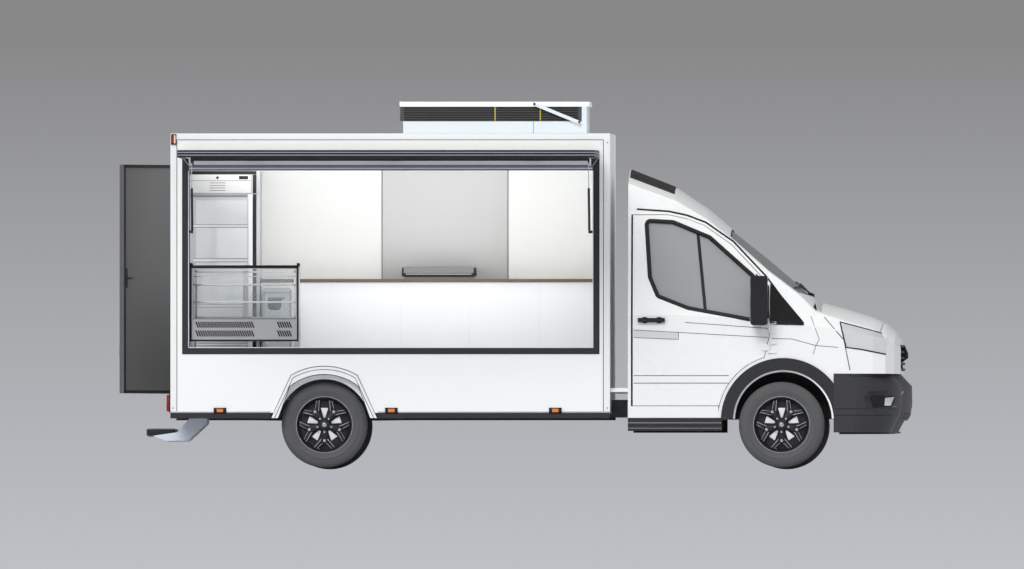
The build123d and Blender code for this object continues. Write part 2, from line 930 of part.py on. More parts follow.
with BuildPart() as back_counter:
    block(counter_x, (counter_front, inner_side), (floor_top, worktop_z[0]))
    block(
        counter_x,
        (counter_front, counter_front + plinth_inset),
        (floor_top, floor_top + plinth_height),
        mode=Mode.SUBTRACT,
    )
    block(
        (counter_x[0], well_half_length + well_clear),
        (well_inner - well_clear, inner_side),
        (floor_top, well_top + well_clear),
        mode=Mode.SUBTRACT,
    )
save(back_counter, "back_counter")

with BuildPart() as worktop:
    block(counter_x, (counter_front - worktop_overhang, inner_side), worktop_z)
save(worktop, "worktop")

with BuildPart() as griddle:
    block(
        (griddle_x[0] + griddle_base_inset, griddle_x[1] - griddle_base_inset),
        (griddle_y[0] + griddle_base_inset, griddle_y[1]),
        (worktop_z[1], worktop_z[1] + griddle_foot),
    )
    block(
        griddle_x,
        griddle_y,
        (worktop_z[1] + griddle_foot, worktop_z[1] + griddle_foot + griddle_height),
    )
save(griddle, "griddle")

# Upright fridge in the rear left corner: open carcass with shelves, and a framed glass door
fridge_height = 1828
fridge_wall = 40
fridge_header = 190
fridge_foot = 130
shelf_thickness = 12
shelf_share = (0.2, 0.42, 0.62, 0.82)
fridge_door_thickness = 36
fridge_door_gap = 5
fridge_door_frame = 50
fridge_axis_inset = 6
fridge_top = floor_top + fridge_height
fridge_inside_z = (floor_top + fridge_foot, fridge_top - fridge_header)
carcass_front = fridge_front + fridge_door_thickness + fridge_door_gap

with BuildPart() as fridge:
    block(fridge_x, (carcass_front, fridge_back), (floor_top, fridge_top))
    block(
        (fridge_x[0] + fridge_wall, fridge_x[1] - fridge_wall),
        (carcass_front, fridge_back - fridge_wall),
        fridge_inside_z,
        mode=Mode.SUBTRACT,
    )
    block(
        (fridge_x[0], fridge_x[1]),
        (fridge_front, carcass_front),
        (fridge_inside_z[1] + fridge_door_gap, fridge_top),
    )
    for share in shelf_share:
        shelf_z = fridge_inside_z[0] + share * (fridge_inside_z[1] - fridge_inside_z[0])
        block(
            (fridge_x[0] + fridge_wall, fridge_x[1] - fridge_wall),
            (carcass_front + fridge_wall, fridge_back - fridge_wall),
            (shelf_z, shelf_z + shelf_thickness),
        )
    block(
        (fridge_x[0], fridge_x[0] + fridge_wall),
        (fridge_front, carcass_front),
        (fridge_inside_z[0] - fridge_door_gap - shelf_thickness, fridge_inside_z[0] - fridge_door_gap),
    )
save(fridge, "fridge")

fridge_axis_x = fridge_x[0] + fridge_axis_inset
fridge_axis_y = fridge_front + fridge_axis_inset
fridge_pin_radius = 5

with BuildPart() as fridge_door:
    block(
        fridge_x,
        (fridge_front, fridge_front + fridge_door_thickness),
        fridge_inside_z,
    )
    block(
        (fridge_x[0] + fridge_door_frame, fridge_x[1] - fridge_door_frame),
        (fridge_front, fridge_front + fridge_door_thickness / 3),
        (fridge_inside_z[0] + fridge_door_frame, fridge_inside_z[1] - fridge_door_frame),
        mode=Mode.SUBTRACT,
    )
    rod(
        level,
        (fridge_axis_x, fridge_axis_y),
        fridge_pin_radius,
        (fridge_inside_z[0] - fridge_door_gap + pin_gap, fridge_inside_z[0]),
    )
    rod(
        level,
        (fridge_axis_x, fridge_axis_y),
        fridge_pin_radius,
        (fridge_inside_z[1], fridge_inside_z[1] + fridge_door_gap - pin_gap),
    )
save(fridge_door, "fridge_door")

# Display case by the hatch: base and end frames on a stand, with glass panes and shelves
case_gap = 120
case_length = 889
case_wall_gap = 27
case_depth = 500
case_stand = 423
case_base_height = 185
case_glass_height = 434
case_frame = 22
case_bar = 26
case_leg = 36
glass_thickness = 6
case_shelf_shares = (0.311, 0.6406)
case_x = (inner_rear + case_gap, inner_rear + case_gap + case_length)
case_y = (case_wall_gap - inner_side, case_wall_gap - inner_side + case_depth)
case_bottom = floor_top + case_stand
case_base_top = case_bottom + case_base_height
case_top = case_base_top + case_glass_height
case_shelf_z = [case_base_top + share * case_glass_height for share in case_shelf_shares]

# Columns: leg's end and way in along the truck, edge and way in across it, height of its foot
case_legs = (
    (case_x[0], 1, case_y[0], 1, floor_top),
    (case_x[0], 1, case_y[1], -1, floor_top),
    (case_x[1], -1, case_y[0], 1, well_top),
    (case_x[1], -1, case_y[1], -1, floor_top),
)

with BuildPart() as display_case:
    block(case_x, case_y, (case_bottom, case_base_top))
    for end, inward in ((case_x[0], 1), (case_x[1], -1)):
        block((end, end + inward * case_frame), case_y, (case_bottom, case_top))
        block(
            (end, end + inward * case_frame),
            (case_y[0] + case_bar, case_y[1] - case_bar),
            (case_base_top + case_bar, case_top - case_bar),
            mode=Mode.SUBTRACT,
        )
    for edge in ((case_y[0], case_y[0] + case_bar), (case_y[1] - case_bar, case_y[1])):
        block(case_x, edge, (case_top - case_bar, case_top))
    for end, inward, edge, back, foot in case_legs:
        block((end, end + inward * case_leg), (edge, edge + back * case_leg), (foot, case_bottom))
save(display_case, "display_case")

pane_x = (case_x[0] + case_frame, case_x[1] - case_frame)

with BuildPart() as display_glass:
    block(
        pane_x,
        (case_y[0] + case_bar, case_y[1] - case_bar),
        (case_top - case_bar, case_top - case_bar + glass_thickness),
    )
    for edge in (case_y[0] + case_bar, case_y[1] - case_bar - glass_thickness):
        block(pane_x, (edge, edge + glass_thickness), (case_base_top, case_top - case_bar))
    for shelf_z in case_shelf_z:
        block(
            pane_x,
            (case_y[0] + case_bar, case_y[1] - case_bar),
            (shelf_z, shelf_z + glass_thickness),
        )
save(display_glass, "display_glass")

# Waste bin standing in front of the counter
bin_gap = 30
bin_lead = 18
bin_width = 238
bin_depth = 240
bin_height = 868
bin_corner = 30
bin_x = (counter_x[0] + bin_lead, counter_x[0] + bin_lead + bin_width)
bin_y = (counter_front - bin_gap - bin_depth, counter_front - bin_gap)

with BuildPart() as waste_bin:
    block(bin_x, bin_y, (floor_top, floor_top + bin_height))
    fillet(waste_bin.edges().filter_by(Axis.Y).group_by(Axis.Z)[-1], radius=bin_corner)
save(waste_bin, "waste_bin")

# Cab skin stations, as shares of the cab's own sizes. Columns: distance from the cab's rear,
# half width at the side, height of the belt, half width and height of the cant, crown height
cab_station_shares = (
    (0.000, 1.000, 0.510, 0.825, 0.951, 1.000),
    (0.173, 1.000, 0.510, 0.820, 0.894, 0.938),
    (0.289, 1.000, 0.506, 0.811, 0.832, 0.868),
    (0.365, 0.998, 0.502, 0.801, 0.777, 0.809),
    (0.517, 0.992, 0.490, 0.791, 0.655, 0.700),
    (0.636, 0.983, 0.477, 0.835, 0.574, 0.607),
    (0.692, 0.976, 0.473, 0.854, 0.522, 0.558),
    (0.800, 0.956, 0.457, 0.825, 0.490, 0.532),
    (0.903, 0.903, 0.441, 0.767, 0.463, 0.503),
    (0.948, 0.845, 0.430, 0.700, 0.447, 0.482),
    (0.980, 0.700, 0.415, 0.560, 0.432, 0.457),
    (1.000, 0.430, 0.400, 0.330, 0.415, 0.430),
)
cab_rear_wall = 25


def cab_volume(inset):
    """Solid inside the cab's skin, drawn in from it by an inset and open below if inset."""
    first = cab_rear_wall if inset > 0 else 0
    with BuildPart() as volume:
        for row, shares in enumerate(cab_station_shares):
            along, side_y, belt, cant_y, cant_z, crown = shares
            x = cab_rear + along * cab_length
            if row == 0:
                x += first
            if row == len(cab_station_shares) - 1:
                x -= inset
            half = side_y * cab_half_width - inset
            cant = cant_y * cab_half_width - inset
            bottom = cab_sill - (overrun if inset > 0 else 0)
            with BuildSketch(cross(x)):
                with BuildLine():
                    Polyline(
                        (-cant, cant_z * cab_height - inset),
                        (-half, belt * cab_height),
                        (-half, bottom),
                        (half, bottom),
                        (half, belt * cab_height),
                        (cant, cant_z * cab_height - inset),
                    )
                    ThreePointArc(
                        (cant, cant_z * cab_height - inset),
                        (0, crown * cab_height - inset),
                        (-cant, cant_z * cab_height - inset),
                    )
                make_face()
        loft(ruled=True)
    return volume.part


def cab_points(shares):
    """Points of a side outline from shares of the cab's length and height."""
    return [(cab_rear + along * cab_length, up * cab_height) for along, up in shares]


outer_cab = cab_volume(0)
with BuildPart() as cab_skin_solid:
    add(outer_cab)
    add(cab_volume(cab_skin), mode=Mode.SUBTRACT)

# Front wheel arch, and the cab doors that end on it
arch_lead = 15
arch_lift = 35
arch_gap = 61
cladding_width = 100
cladding_proud = 14
door_arch_gap = 30
arch_x = wheelbase + arch_lead
arch_z = tyre_radius + arch_lift
arch_radius = tyre_radius + arch_gap
cladding_radius = arch_radius + cladding_width
door_arch_radius = cladding_radius + door_arch_gap
door_arc_top = 107
door_arc_middle = 137
door_arc_foot = 167
door_rear_lap = 15
door_rear = cab_rear + cab_rear_wall + door_rear_lap
door_sill = 101
door_bottom = cab_sill + door_sill
door_reach_in = 420
side_reach = cab_half_width + overrun


def arch_point(radius, turn):
    """Point at a radius and angle about the middle of the front arch."""
    return (arch_x + radius * cos(radians(turn)), arch_z + radius * sin(radians(turn)))


# Door's upper edge from the rear corner to the front shut line
door_top_shares = ((0.148, 0.845), (0.213, 0.832), (0.279, 0.810), (0.378, 0.747), (0.499, 0.630))
door_front_shares = ((0.520, 0.506), (0.520, 0.440))
window_shares = (
    (0.066, 0.826),
    (0.166, 0.821),
    (0.300, 0.770),
    (0.463, 0.638),
    (0.463, 0.492),
    (0.222, 0.532),
    (0.110, 0.572),
    (0.080, 0.636),
)
window_corner = 36
glass_inset = 16
glass_pane = 6


def door_outline(grow):
    """Side outline of a cab door on the current sketch, grown on all sides."""
    with BuildLine() as edge:
        arc = ThreePointArc(
            arch_point(door_arch_radius, door_arc_top),
            arch_point(door_arch_radius, door_arc_middle),
            arch_point(door_arch_radius, door_arc_foot),
        )
        Polyline(
            arc @ 1,
            ((arc @ 1).X, door_bottom),
            (door_rear, door_bottom),
            (door_rear, door_top_shares[0][1] * cab_height),
            *cab_points(door_top_shares),
            *cab_points(door_front_shares),
            arc @ 0,
        )
    make_face(edge.line)
    if grow:
        offset(amount=grow, kind=Kind.INTERSECTION, mode=Mode.REPLACE)


def door_prism(hand, grow, mode):
    """Cab door outline extruded through one side of the cab."""
    near, far = handed(hand, side_reach + overrun, cab_half_width - door_reach_in)
    with BuildSketch(side(near)) as outline:
        door_outline(grow)
    extrude(outline.sketch, amount=near - far, mode=mode)


def window_prism(hand, mode):
    """Door window outline with rounded corners, extruded through one side of the cab."""
    near, far = handed(hand, side_reach + overrun, cab_half_width - door_reach_in)
    with BuildSketch(side(near)) as outline:
        with BuildLine():
            Polyline(*cab_points(window_shares), close=True)
        make_face()
        fillet(outline.vertices(), radius=window_corner)
    extrude(outline.sketch, amount=near - far, mode=mode)


# Hinge line of the cab doors, ahead of and outside every point of the door
cab_door_axis_x = cab_rear + door_front_shares[0][0] * cab_length
cab_hinge_proud = 4
cab_door_axis_y = cab_half_width + cab_hinge_proud
cab_hinge_z_shares = (0.402, 0.469)
cab_hinge_z = [share * cab_height for share in cab_hinge_z_shares]
cab_hinge_half = 26
cab_hinge_radius = 8
cab_hinge_tab = 60
cab_hinge_leaf = 3
cab_ear_length = 20
mirror_leads = (-250, -110)
mirror_z_share = 0.4753
mirror_height = 405
mirror_gap = 45
mirror_corner = 24
mirror_arm_leads = (-225, -180)
mirror_arm_lifts = (85, 255)
mirror_arm_height = 35
mirror_arm_root = 160
mirror_bottom = mirror_z_share * cab_height
handle_x_shares = (0.037, 0.136)
handle_z_share = 0.4855
handle_height = 36
door_handle_depth = 30
door_handle_corner = 8

with BuildPart() as glass_skin:
    add(cab_volume(glass_inset))
    add(cab_volume(glass_inset + glass_pane), mode=Mode.SUBTRACT)

for side_name, hand in (("right", -1), ("left", 1)):
    with BuildPart() as cab_door:
        add(cab_skin_solid.part)
        door_prism(hand, 0, Mode.INTERSECT)
        window_prism(hand, Mode.SUBTRACT)
        for hinge_z in cab_hinge_z:
            span = around(hinge_z, cab_hinge_half)
            rod(level, (cab_door_axis_x, hand * cab_door_axis_y), cab_hinge_radius, span)
            block(
                (cab_door_axis_x - cab_hinge_tab, cab_door_axis_x),
                around(hand * (cab_door_axis_y - cab_hinge_leaf), cab_hinge_leaf),
                span,
            )
            block(
                (cab_door_axis_x - cab_hinge_tab, cab_door_axis_x - cab_hinge_tab / 2),
                handed(hand, cab_door_axis_y - cab_skin, cab_door_axis_y),
                span,
            )
    save(cab_door, f"cab_door_{side_name}")

    with BuildPart() as door_glass:
        add(glass_skin.part)
        window_prism(hand, Mode.INTERSECT)
    save(door_glass, f"door_glass_{side_name}")

    with BuildPart() as door_trim:
        block(
            ahead(mirror_leads),
            handed(hand, cab_half_width + mirror_gap, mirror_reach),
            (mirror_bottom, mirror_bottom + mirror_height),
        )
        fillet(door_trim.edges().filter_by(Axis.Y), radius=mirror_corner)
        for lift in mirror_arm_lifts:
            block(
                ahead(mirror_arm_leads),
                handed(hand, cab_half_width - mirror_arm_root, cab_half_width + mirror_gap + overrun),
                (mirror_bottom + lift, mirror_bottom + lift + mirror_arm_height),
            )
        block(
            [cab_rear + share * cab_length for share in handle_x_shares],
            handed(hand, cab_half_width - overrun, cab_half_width + door_handle_depth),
            (handle_z_share * cab_height, handle_z_share * cab_height + handle_height),
        )
        add(outer_cab, mode=Mode.SUBTRACT)
    save(door_trim, f"door_trim_{side_name}")

# Windscreen opening and bonnet opening, drawn in plan as shares of cab length and half width
screen_plan_shares = ((0.375, 0.730), (0.628, 0.770), (0.672, 0.000))
bonnet_plan_shares = ((0.712, 0.800), (0.800, 0.800), (0.903, 0.742), (0.935, 0.690))
screen_z_shares = (0.50, 0.84)
bonnet_z_shares = (0.435, 0.60)
bonnet_gap = 6
bonnet_crown_share = 0.553
bonnet_axis_drop = 100
bonnet_axis_lag = 21
cowl_share = 0.680
cowl_gap_x = cab_rear + cowl_share * cab_length
bonnet_rear_x = cab_rear + bonnet_plan_shares[0][0] * cab_length
bonnet_axis_x = bonnet_rear_x + bonnet_axis_lag
bonnet_axis_z = bonnet_crown_share * cab_height - bonnet_axis_drop
bonnet_swing = cab_rear + bonnet_plan_shares[-1][0] * cab_length - bonnet_axis_x


def screen_prism(mode):
    """Windscreen outline in plan, extruded up through the sloping front of the cab."""
    (top_x, top_y), (foot_x, foot_y), (middle_x, _) = [
        (cab_rear + along * cab_length, across * cab_half_width)
        for along, across in screen_plan_shares
    ]
    with BuildSketch(level(screen_z_shares[0] * cab_height)) as outline:
        with BuildLine():
            Polyline((foot_x, -foot_y), (top_x, -top_y), (top_x, top_y), (foot_x, foot_y))
            ThreePointArc((foot_x, foot_y), (middle_x, 0), (foot_x, -foot_y))
        make_face()
    extrude(
        outline.sketch,
        amount=(screen_z_shares[1] - screen_z_shares[0]) * cab_height,
        mode=mode,
    )


def bonnet_tool(grow):
    """Bonnet outline in plan, extruded up and ended in front on a drum about its hinge axis."""
    half = [(cab_rear + a * cab_length, b * cab_half_width) for a, b in bonnet_plan_shares]
    with BuildPart() as tool:
        with BuildSketch(level(bonnet_z_shares[0] * cab_height)) as outline:
            with BuildLine():
                Polyline(*half, *[(x, -y) for x, y in reversed(half)], close=True)
            make_face()
            if grow:
                offset(amount=grow, kind=Kind.INTERSECTION, mode=Mode.REPLACE)
        extrude(outline.sketch, amount=(bonnet_z_shares[1] - bonnet_z_shares[0]) * cab_height)
        rod(
            side,
            (bonnet_axis_x, bonnet_axis_z),
            bonnet_swing + grow,
            (-side_reach, side_reach),
            mode=Mode.INTERSECT,
        )
    return tool.part


bonnet_opening = bonnet_tool(bonnet_gap)


# Headlamps, wrapping round the front corners
headlamp_shares = (
    (0.781, 0.487),
    (0.933, 0.450),
    (0.949, 0.426),
    (0.949, 0.379),
    (0.861, 0.395),
    (0.804, 0.402),
)
headlamp_inner = 590


def headlamp_prism(hand, mode):
    """Headlamp outline extruded through one front corner of the cab."""
    prism(side, cab_points(headlamp_shares), handed(hand, side_reach, headlamp_inner), mode)


# Nose opening for the grille, and the bumper line under the wings
grille_half_width = 430
bumper_top_share = 0.3142
grille_gap = 30
grille_top_share = 0.412
bumper_top = bumper_top_share * cab_height
grille_z = (bumper_top + grille_gap, grille_top_share * cab_height)
bumper_rear = arch_x + arch_radius
nose_x = cab_rear + cab_length

# Inside the cab shell: floor, wheelhouses, firewall and cowl tray
cab_floor_thickness = 40
cab_floor_inset = 70
house_reach = 370
house_half_length = 460
house_clear = 44
house_wall = 25
firewall_lag = 114
firewall_thickness = 25
cowl_lag = 12
cowl_drop = 15
cowl_thickness = 25
cab_floor_z = (rail_top, rail_top + cab_floor_thickness)
cab_floor_side = cab_half_width - cab_floor_inset
cab_floor_rear = cab_rear + cab_rear_wall
footwell_half = wheel_y - house_reach
house_x = around(wheelbase, house_half_length)
house_top = arch_z + arch_radius + house_clear
firewall_rear = bonnet_rear_x - firewall_lag
firewall_x = (firewall_rear, firewall_rear + firewall_thickness)
firewall_top = bonnet_axis_z - cowl_drop
cowl_x = (firewall_x[0], bonnet_rear_x - cowl_lag)
cowl_z = (firewall_top - cowl_thickness, firewall_top)
bonnet_hinge_y = 380
bonnet_hinge_half = 25
bonnet_ear = 14
bonnet_tab = 60

inner_cab = cab_volume(cab_skin)

with BuildPart() as cab_floor:
    block((cab_floor_rear, house_x[0]), (-cab_floor_side, cab_floor_side), cab_floor_z)
    block((cab_floor_rear, firewall_x[1]), (-footwell_half, footwell_half), cab_floor_z)
    block(firewall_x, (-side_reach, side_reach), (house_top, firewall_top))
    block(firewall_x, (-footwell_half, footwell_half), (cab_floor_z[0], house_top))
    block(cowl_x, (-side_reach, side_reach), cowl_z)
    add(inner_cab, mode=Mode.INTERSECT)
    for hand in both_sides:
        for end in both_sides:
            near = hand * bonnet_hinge_y + end * (bonnet_hinge_half + pin_gap)
            far = near + end * bonnet_ear
            rod(side, (bonnet_axis_x, bonnet_axis_z), hinge_radius, (near, far))
            block(around(bonnet_axis_x, hinge_radius), (near, far), (cowl_z[0], bonnet_axis_z))
            block((cowl_x[1], bonnet_axis_x), (near, far), cowl_z)
save(cab_floor, "cab_floor")

with BuildPart() as wheelhouses:
    for hand in both_sides:
        block(house_x, handed(hand, footwell_half, side_reach), (cab_sill, house_top))
    add(inner_cab, mode=Mode.INTERSECT)
    for hand in both_sides:
        block(
            (house_x[0] + house_wall, house_x[1] - house_wall),
            handed(hand, footwell_half + house_wall, side_reach),
            (cab_sill, house_top - house_wall),
            mode=Mode.SUBTRACT,
        )
        block(
            around(wheelbase, arm_base_half + house_wall),
            handed(hand, footwell_half, footwell_half + house_wall),
            (cab_sill, rail_top),
            mode=Mode.SUBTRACT,
        )
save(wheelhouses, "wheelhouses")

with BuildPart() as cab_shell:
    add(cab_skin_solid.part)
    for hand in both_sides:
        rod(
            side,
            (arch_x, arch_z),
            arch_radius,
            handed(hand, cab_half_width - 2 * cab_skin, side_reach),
            mode=Mode.SUBTRACT,
        )
        door_prism(hand, panel_gap, Mode.SUBTRACT)
        block(
            (cab_floor_rear, door_rear + panel_gap),
            handed(hand, cab_half_width - door_reach_in, side_reach),
            (door_bottom - panel_gap, door_top_shares[0][1] * cab_height + panel_gap),
            mode=Mode.SUBTRACT,
        )
        headlamp_prism(hand, Mode.SUBTRACT)
    block(
        (cab_rear, cab_floor_rear),
        (-cab_floor_side, cab_floor_side),
        (cab_sill, rail_top),
        mode=Mode.SUBTRACT,
    )
    screen_prism(Mode.SUBTRACT)
    add(bonnet_opening, mode=Mode.SUBTRACT)
    block(
        (cowl_gap_x, bonnet_rear_x),
        (-bonnet_plan_shares[0][1] * cab_half_width, bonnet_plan_shares[0][1] * cab_half_width),
        [share * cab_height for share in bonnet_z_shares],
        mode=Mode.SUBTRACT,
    )
    block(
        (bumper_rear, nose_x + overrun),
        (-side_reach, side_reach),
        (cab_sill - overrun, bumper_top),
        mode=Mode.SUBTRACT,
    )
    block(
        (firewall_x[1] + cab_skin, nose_x + overrun),
        (-grille_half_width, grille_half_width),
        grille_z,
        mode=Mode.SUBTRACT,
    )
    for hand in both_sides:
        for hinge_z in cab_hinge_z:
            for end in both_sides:
                start = hinge_z + end * (cab_hinge_half + pin_gap)
                stop = start + end * cab_ear_length
                rod(
                    level,
                    (cab_door_axis_x, hand * cab_door_axis_y),
                    cab_hinge_radius,
                    (start, stop),
                )
                block(
                    (cab_door_axis_x, cab_door_axis_x + cab_hinge_tab),
                    handed(hand, cab_door_axis_y - cab_skin / 2, cab_door_axis_y),
                    (start, stop),
                )
save(cab_shell, "cab_shell")

with BuildPart() as windscreen:
    add(glass_skin.part)
    screen_prism(Mode.INTERSECT)
save(windscreen, "windscreen")

with BuildPart() as bonnet:
    add(cab_skin_solid.part)
    add(bonnet_tool(0), mode=Mode.INTERSECT)
    for hand in both_sides:
        span = around(hand * bonnet_hinge_y, bonnet_hinge_half)
        rod(side, (bonnet_axis_x, bonnet_axis_z), hinge_radius, span)
        block(
            (bonnet_axis_x - tab_half, bonnet_axis_x + tab_half),
            span,
            (bonnet_axis_z, bonnet_axis_z + bonnet_tab),
        )
save(bonnet, "bonnet")

with BuildPart() as headlamps:
    for hand in both_sides:
        headlamp_prism(hand, Mode.ADD)
    add(cab_skin_solid.part, mode=Mode.INTERSECT)
    add(bonnet_opening, mode=Mode.SUBTRACT)
save(headlamps, "headlamps")

# Grille: bowed bars between two end posts in the nose opening, and a plain shield over them
grille_bars = 5
grille_bar_height = 18
grille_proud = 27
grille_depth = 155
grille_post = 16
shield_half_width = 90
grille_reach = nose_x + grille_proud
grille_back = nose_x - grille_depth

# Columns: shares of the bars' bow in front of the nose, shares of the grille's height
shield_shares = ((0.8, 1), (1.8, 0.7), (1.9, 0.5), (0, 0.33), (0.4, 0))
grille_pitch = (grille_z[1] - grille_z[0] - grille_bar_height) / (grille_bars - 1)


def grille_plan(height):
    """Bowed bar in plan at a height: straight back, round front."""
    with BuildSketch(level(grille_z[0] + height)) as outline:
        with BuildLine():
            Polyline(
                (nose_x - cab_skin, grille_half_width),
                (grille_back, grille_half_width),
                (grille_back, -grille_half_width),
                (nose_x - cab_skin, -grille_half_width),
            )
            ThreePointArc(
                (nose_x - cab_skin, -grille_half_width),
                (grille_reach, 0),
                (nose_x - cab_skin, grille_half_width),
            )
        make_face()
    return outline.sketch


with BuildPart() as grille:
    for index in range(grille_bars):
        extrude(grille_plan(index * grille_pitch), amount=grille_bar_height)
    for hand in both_sides:
        block(
            (grille_back, nose_x - cab_skin),
            handed(hand, grille_half_width - grille_post, grille_half_width),
            grille_z,
        )
    block((grille_back, grille_back + grille_post), around(0, grille_half_width), grille_z)
    prism(
        side,
        [(grille_back, grille_z[0]), (grille_back, grille_z[1])]
        + [
            (nose_x + out * grille_proud, grille_z[0] + up * (grille_z[1] - grille_z[0]))
            for out, up in shield_shares
        ],
        around(0, shield_half_width),
    )
save(grille, "grille")

# Bumper: hollow shell lofted through level outlines. Columns: height share, reach share
bumper_bottom = 288
bumper_reach = nose_x + bumper_proud - bumper_rear
bumper_height = bumper_top - bumper_bottom
bumper_level_shares = ((0.0, 0.84), (0.17, 0.91), (0.30, 0.975), (0.50, 1.0), (0.80, 0.995), (1.0, 0.85))
bumper_skin = 32
bumper_tuck = 24
bumper_root_half = cab_half_width - bumper_tuck
bumper_corner_shares = ((0.30, 0.965), (0.66, 0.83), (0.88, 0.47))


def bumper_volume(inset):
    """Solid inside the bumper's skin, drawn in from it by an inset and open at the back."""
    with BuildPart() as volume:
        for height_share, reach_share in bumper_level_shares:
            reach = bumper_reach * reach_share - inset
            half = bumper_root_half - inset
            start = bumper_rear - (overrun if inset else 0)
            span = bumper_rear + reach - start
            points = [(start + a * span, b * half) for a, b in bumper_corner_shares]
            with BuildSketch(level(bumper_bottom + height_share * bumper_height)):
                with BuildLine():
                    Polyline(
                        (points[0][0], -points[0][1]),
                        (start, -half),
                        (start, half),
                        points[0],
                    )
                    ThreePointArc(*points)
                    ThreePointArc(
                        points[2],
                        (start + span, 0),
                        (points[2][0], -points[2][1]),
                    )
                    ThreePointArc(
                        (points[2][0], -points[2][1]),
                        (points[1][0], -points[1][1]),
                        (points[0][0], -points[0][1]),
                    )
                make_face()
        loft(ruled=True)
    return volume.part


with BuildPart() as front_bumper:
    add(bumper_volume(0))
    add(bumper_volume(bumper_skin), mode=Mode.SUBTRACT)
save(front_bumper, "front_bumper")

# Black cladding: a band round each front arch and a sill strip under each door
sill_strip_height = 107
sill_strip_proud = 6
sill_strip_lag = 488
sill_strip_z = (cab_sill - sill_strip_height, cab_sill)
sill_strip_y = (cab_half_width - cab_skin, cab_half_width + sill_strip_proud)
sill_strip_x = (cab_rear, wheelbase - sill_strip_lag)

with BuildPart() as arch_cladding:
    for hand in both_sides:
        near, far = handed(hand, side_reach + overrun, cab_half_width - 2 * cab_skin)
        with BuildSketch(side(near)) as band:
            with Locations((arch_x, arch_z)):
                Circle(cladding_radius)
                Circle(arch_radius, mode=Mode.SUBTRACT)
        extrude(band.sketch, amount=near - far)
    block(
        (bumper_rear, nose_x),
        (-2 * side_reach, 2 * side_reach),
        (0, bumper_top),
        mode=Mode.SUBTRACT,
    )
    add(cab_volume(-cladding_proud), mode=Mode.INTERSECT)
    add(outer_cab, mode=Mode.SUBTRACT)
    for hand in both_sides:
        block(sill_strip_x, handed(hand, *sill_strip_y), sill_strip_z)
save(arch_cladding, "arch_cladding")

# Dashboard with the steering wheel, driver on the left
dash_inset = 150
dash_depth = 400
dash_bottom = 890
dash_gap = 20
dash_half = cab_half_width - dash_inset
dash_height = cowl_z[0] - dash_gap - dash_bottom

# Columns: share of the dashboard's depth behind the firewall, share of its height
dash_shares = ((0, 0.984), (0.80, 1), (1, 0.754), (0.962, 0.230), (0.65, 0), (0, 0))
dash_points = [
    (firewall_x[0] - back * dash_depth, dash_bottom + up * dash_height) for back, up in dash_shares
]
steering_lag = 585
steering_y = 470
steering_wheel_radius = 185
steering_ring = 15
steering_rake = 62
column_radius = 32
column_length = 330

steering_plane = Plane(
    origin=(rear_axle_x + firewall_x[0] - steering_lag, centre_y + steering_y, cowl_z[0]),
    x_dir=(0, 1, 0),
    z_dir=(sin(radians(steering_rake)), 0, -cos(radians(steering_rake))),
)
with BuildPart() as dashboard:
    prism(side, dash_points, (-dash_half, dash_half))
    with BuildSketch(steering_plane) as column:
        Circle(column_radius)
    extrude(column.sketch, amount=column_length)
    with BuildSketch(steering_plane) as spokes:
        Circle(steering_wheel_radius)
        Circle(steering_wheel_radius - 2 * steering_ring, mode=Mode.SUBTRACT)
        Rectangle(2 * steering_wheel_radius - steering_ring, 2 * steering_ring)
    extrude(spokes.sketch, amount=steering_ring)
save(dashboard, "dashboard")

# Seats: a driver's seat and a double passenger bench on their plinths
cushion_lifts = (250, 390)
back_lifts = (300, 1020)
headrest_lifts = (1055, 1230)
plinth_places = (230, 610)
cushion_places = (200, 680)
back_foot_places = (70, 210)
back_head_places = (150, 40)
headrest_places = (50, 130)
headrest_half = 120
headrest_stalk = 14
plinth_side = 60
seat_gap = 6


def in_cab(places):
    """Distances from the rear axle of places given by their distance from the cab's rear."""
    return tuple(cab_rear + place for place in places)


def above_floor(lifts):
    """Heights from the ground of places given by their height over the cab floor."""
    return tuple(cab_floor_z[1] + lift for lift in lifts)


cushion_z = above_floor(cushion_lifts)
back_z = above_floor(back_lifts)
headrest_z = above_floor(headrest_lifts)
headrest_x = in_cab(headrest_places)

# Columns: middle of the seat across the cab, half width, headrests
seat_rows = ((480, 250, (0,)), (-430, 430, (-215, 215)))

with BuildPart() as seats:
    for middle, half, rests in seat_rows:
        block(
            in_cab(plinth_places),
            around(middle, half - plinth_side),
            (cab_floor_z[1], cushion_z[0]),
        )
        block(in_cab(cushion_places), around(middle, half), cushion_z)
        prism(
            side,
            [(x, back_z[0]) for x in in_cab(back_foot_places)]
            + [(x, back_z[1]) for x in in_cab(back_head_places)],
            around(middle, half - seat_gap),
        )
        for rest in rests:
            block(headrest_x, around(middle + rest, headrest_half), headrest_z)
            rod(
                level,
                ((headrest_x[0] + headrest_x[1]) / 2, middle + rest),
                headrest_stalk,
                (back_z[1] - overrun, headrest_z[0]),
            )
save(seats, "seats")
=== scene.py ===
"""Looks of the food truck: finishes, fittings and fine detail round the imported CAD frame.

Sizes and places are millimetres in the vehicle's own directions: x forward from the rear axle, y to
the left from the centre plane and z up from the ground. TO_FRAME turns them into the
frame's metres.
"""
import logging
import math
from dataclasses import dataclass, field
from enum import Enum
from functools import cache
from typing import Iterable, Sequence

import bmesh
import bpy
from mathutils import Matrix, Vector
from mathutils.bvhtree import BVHTree


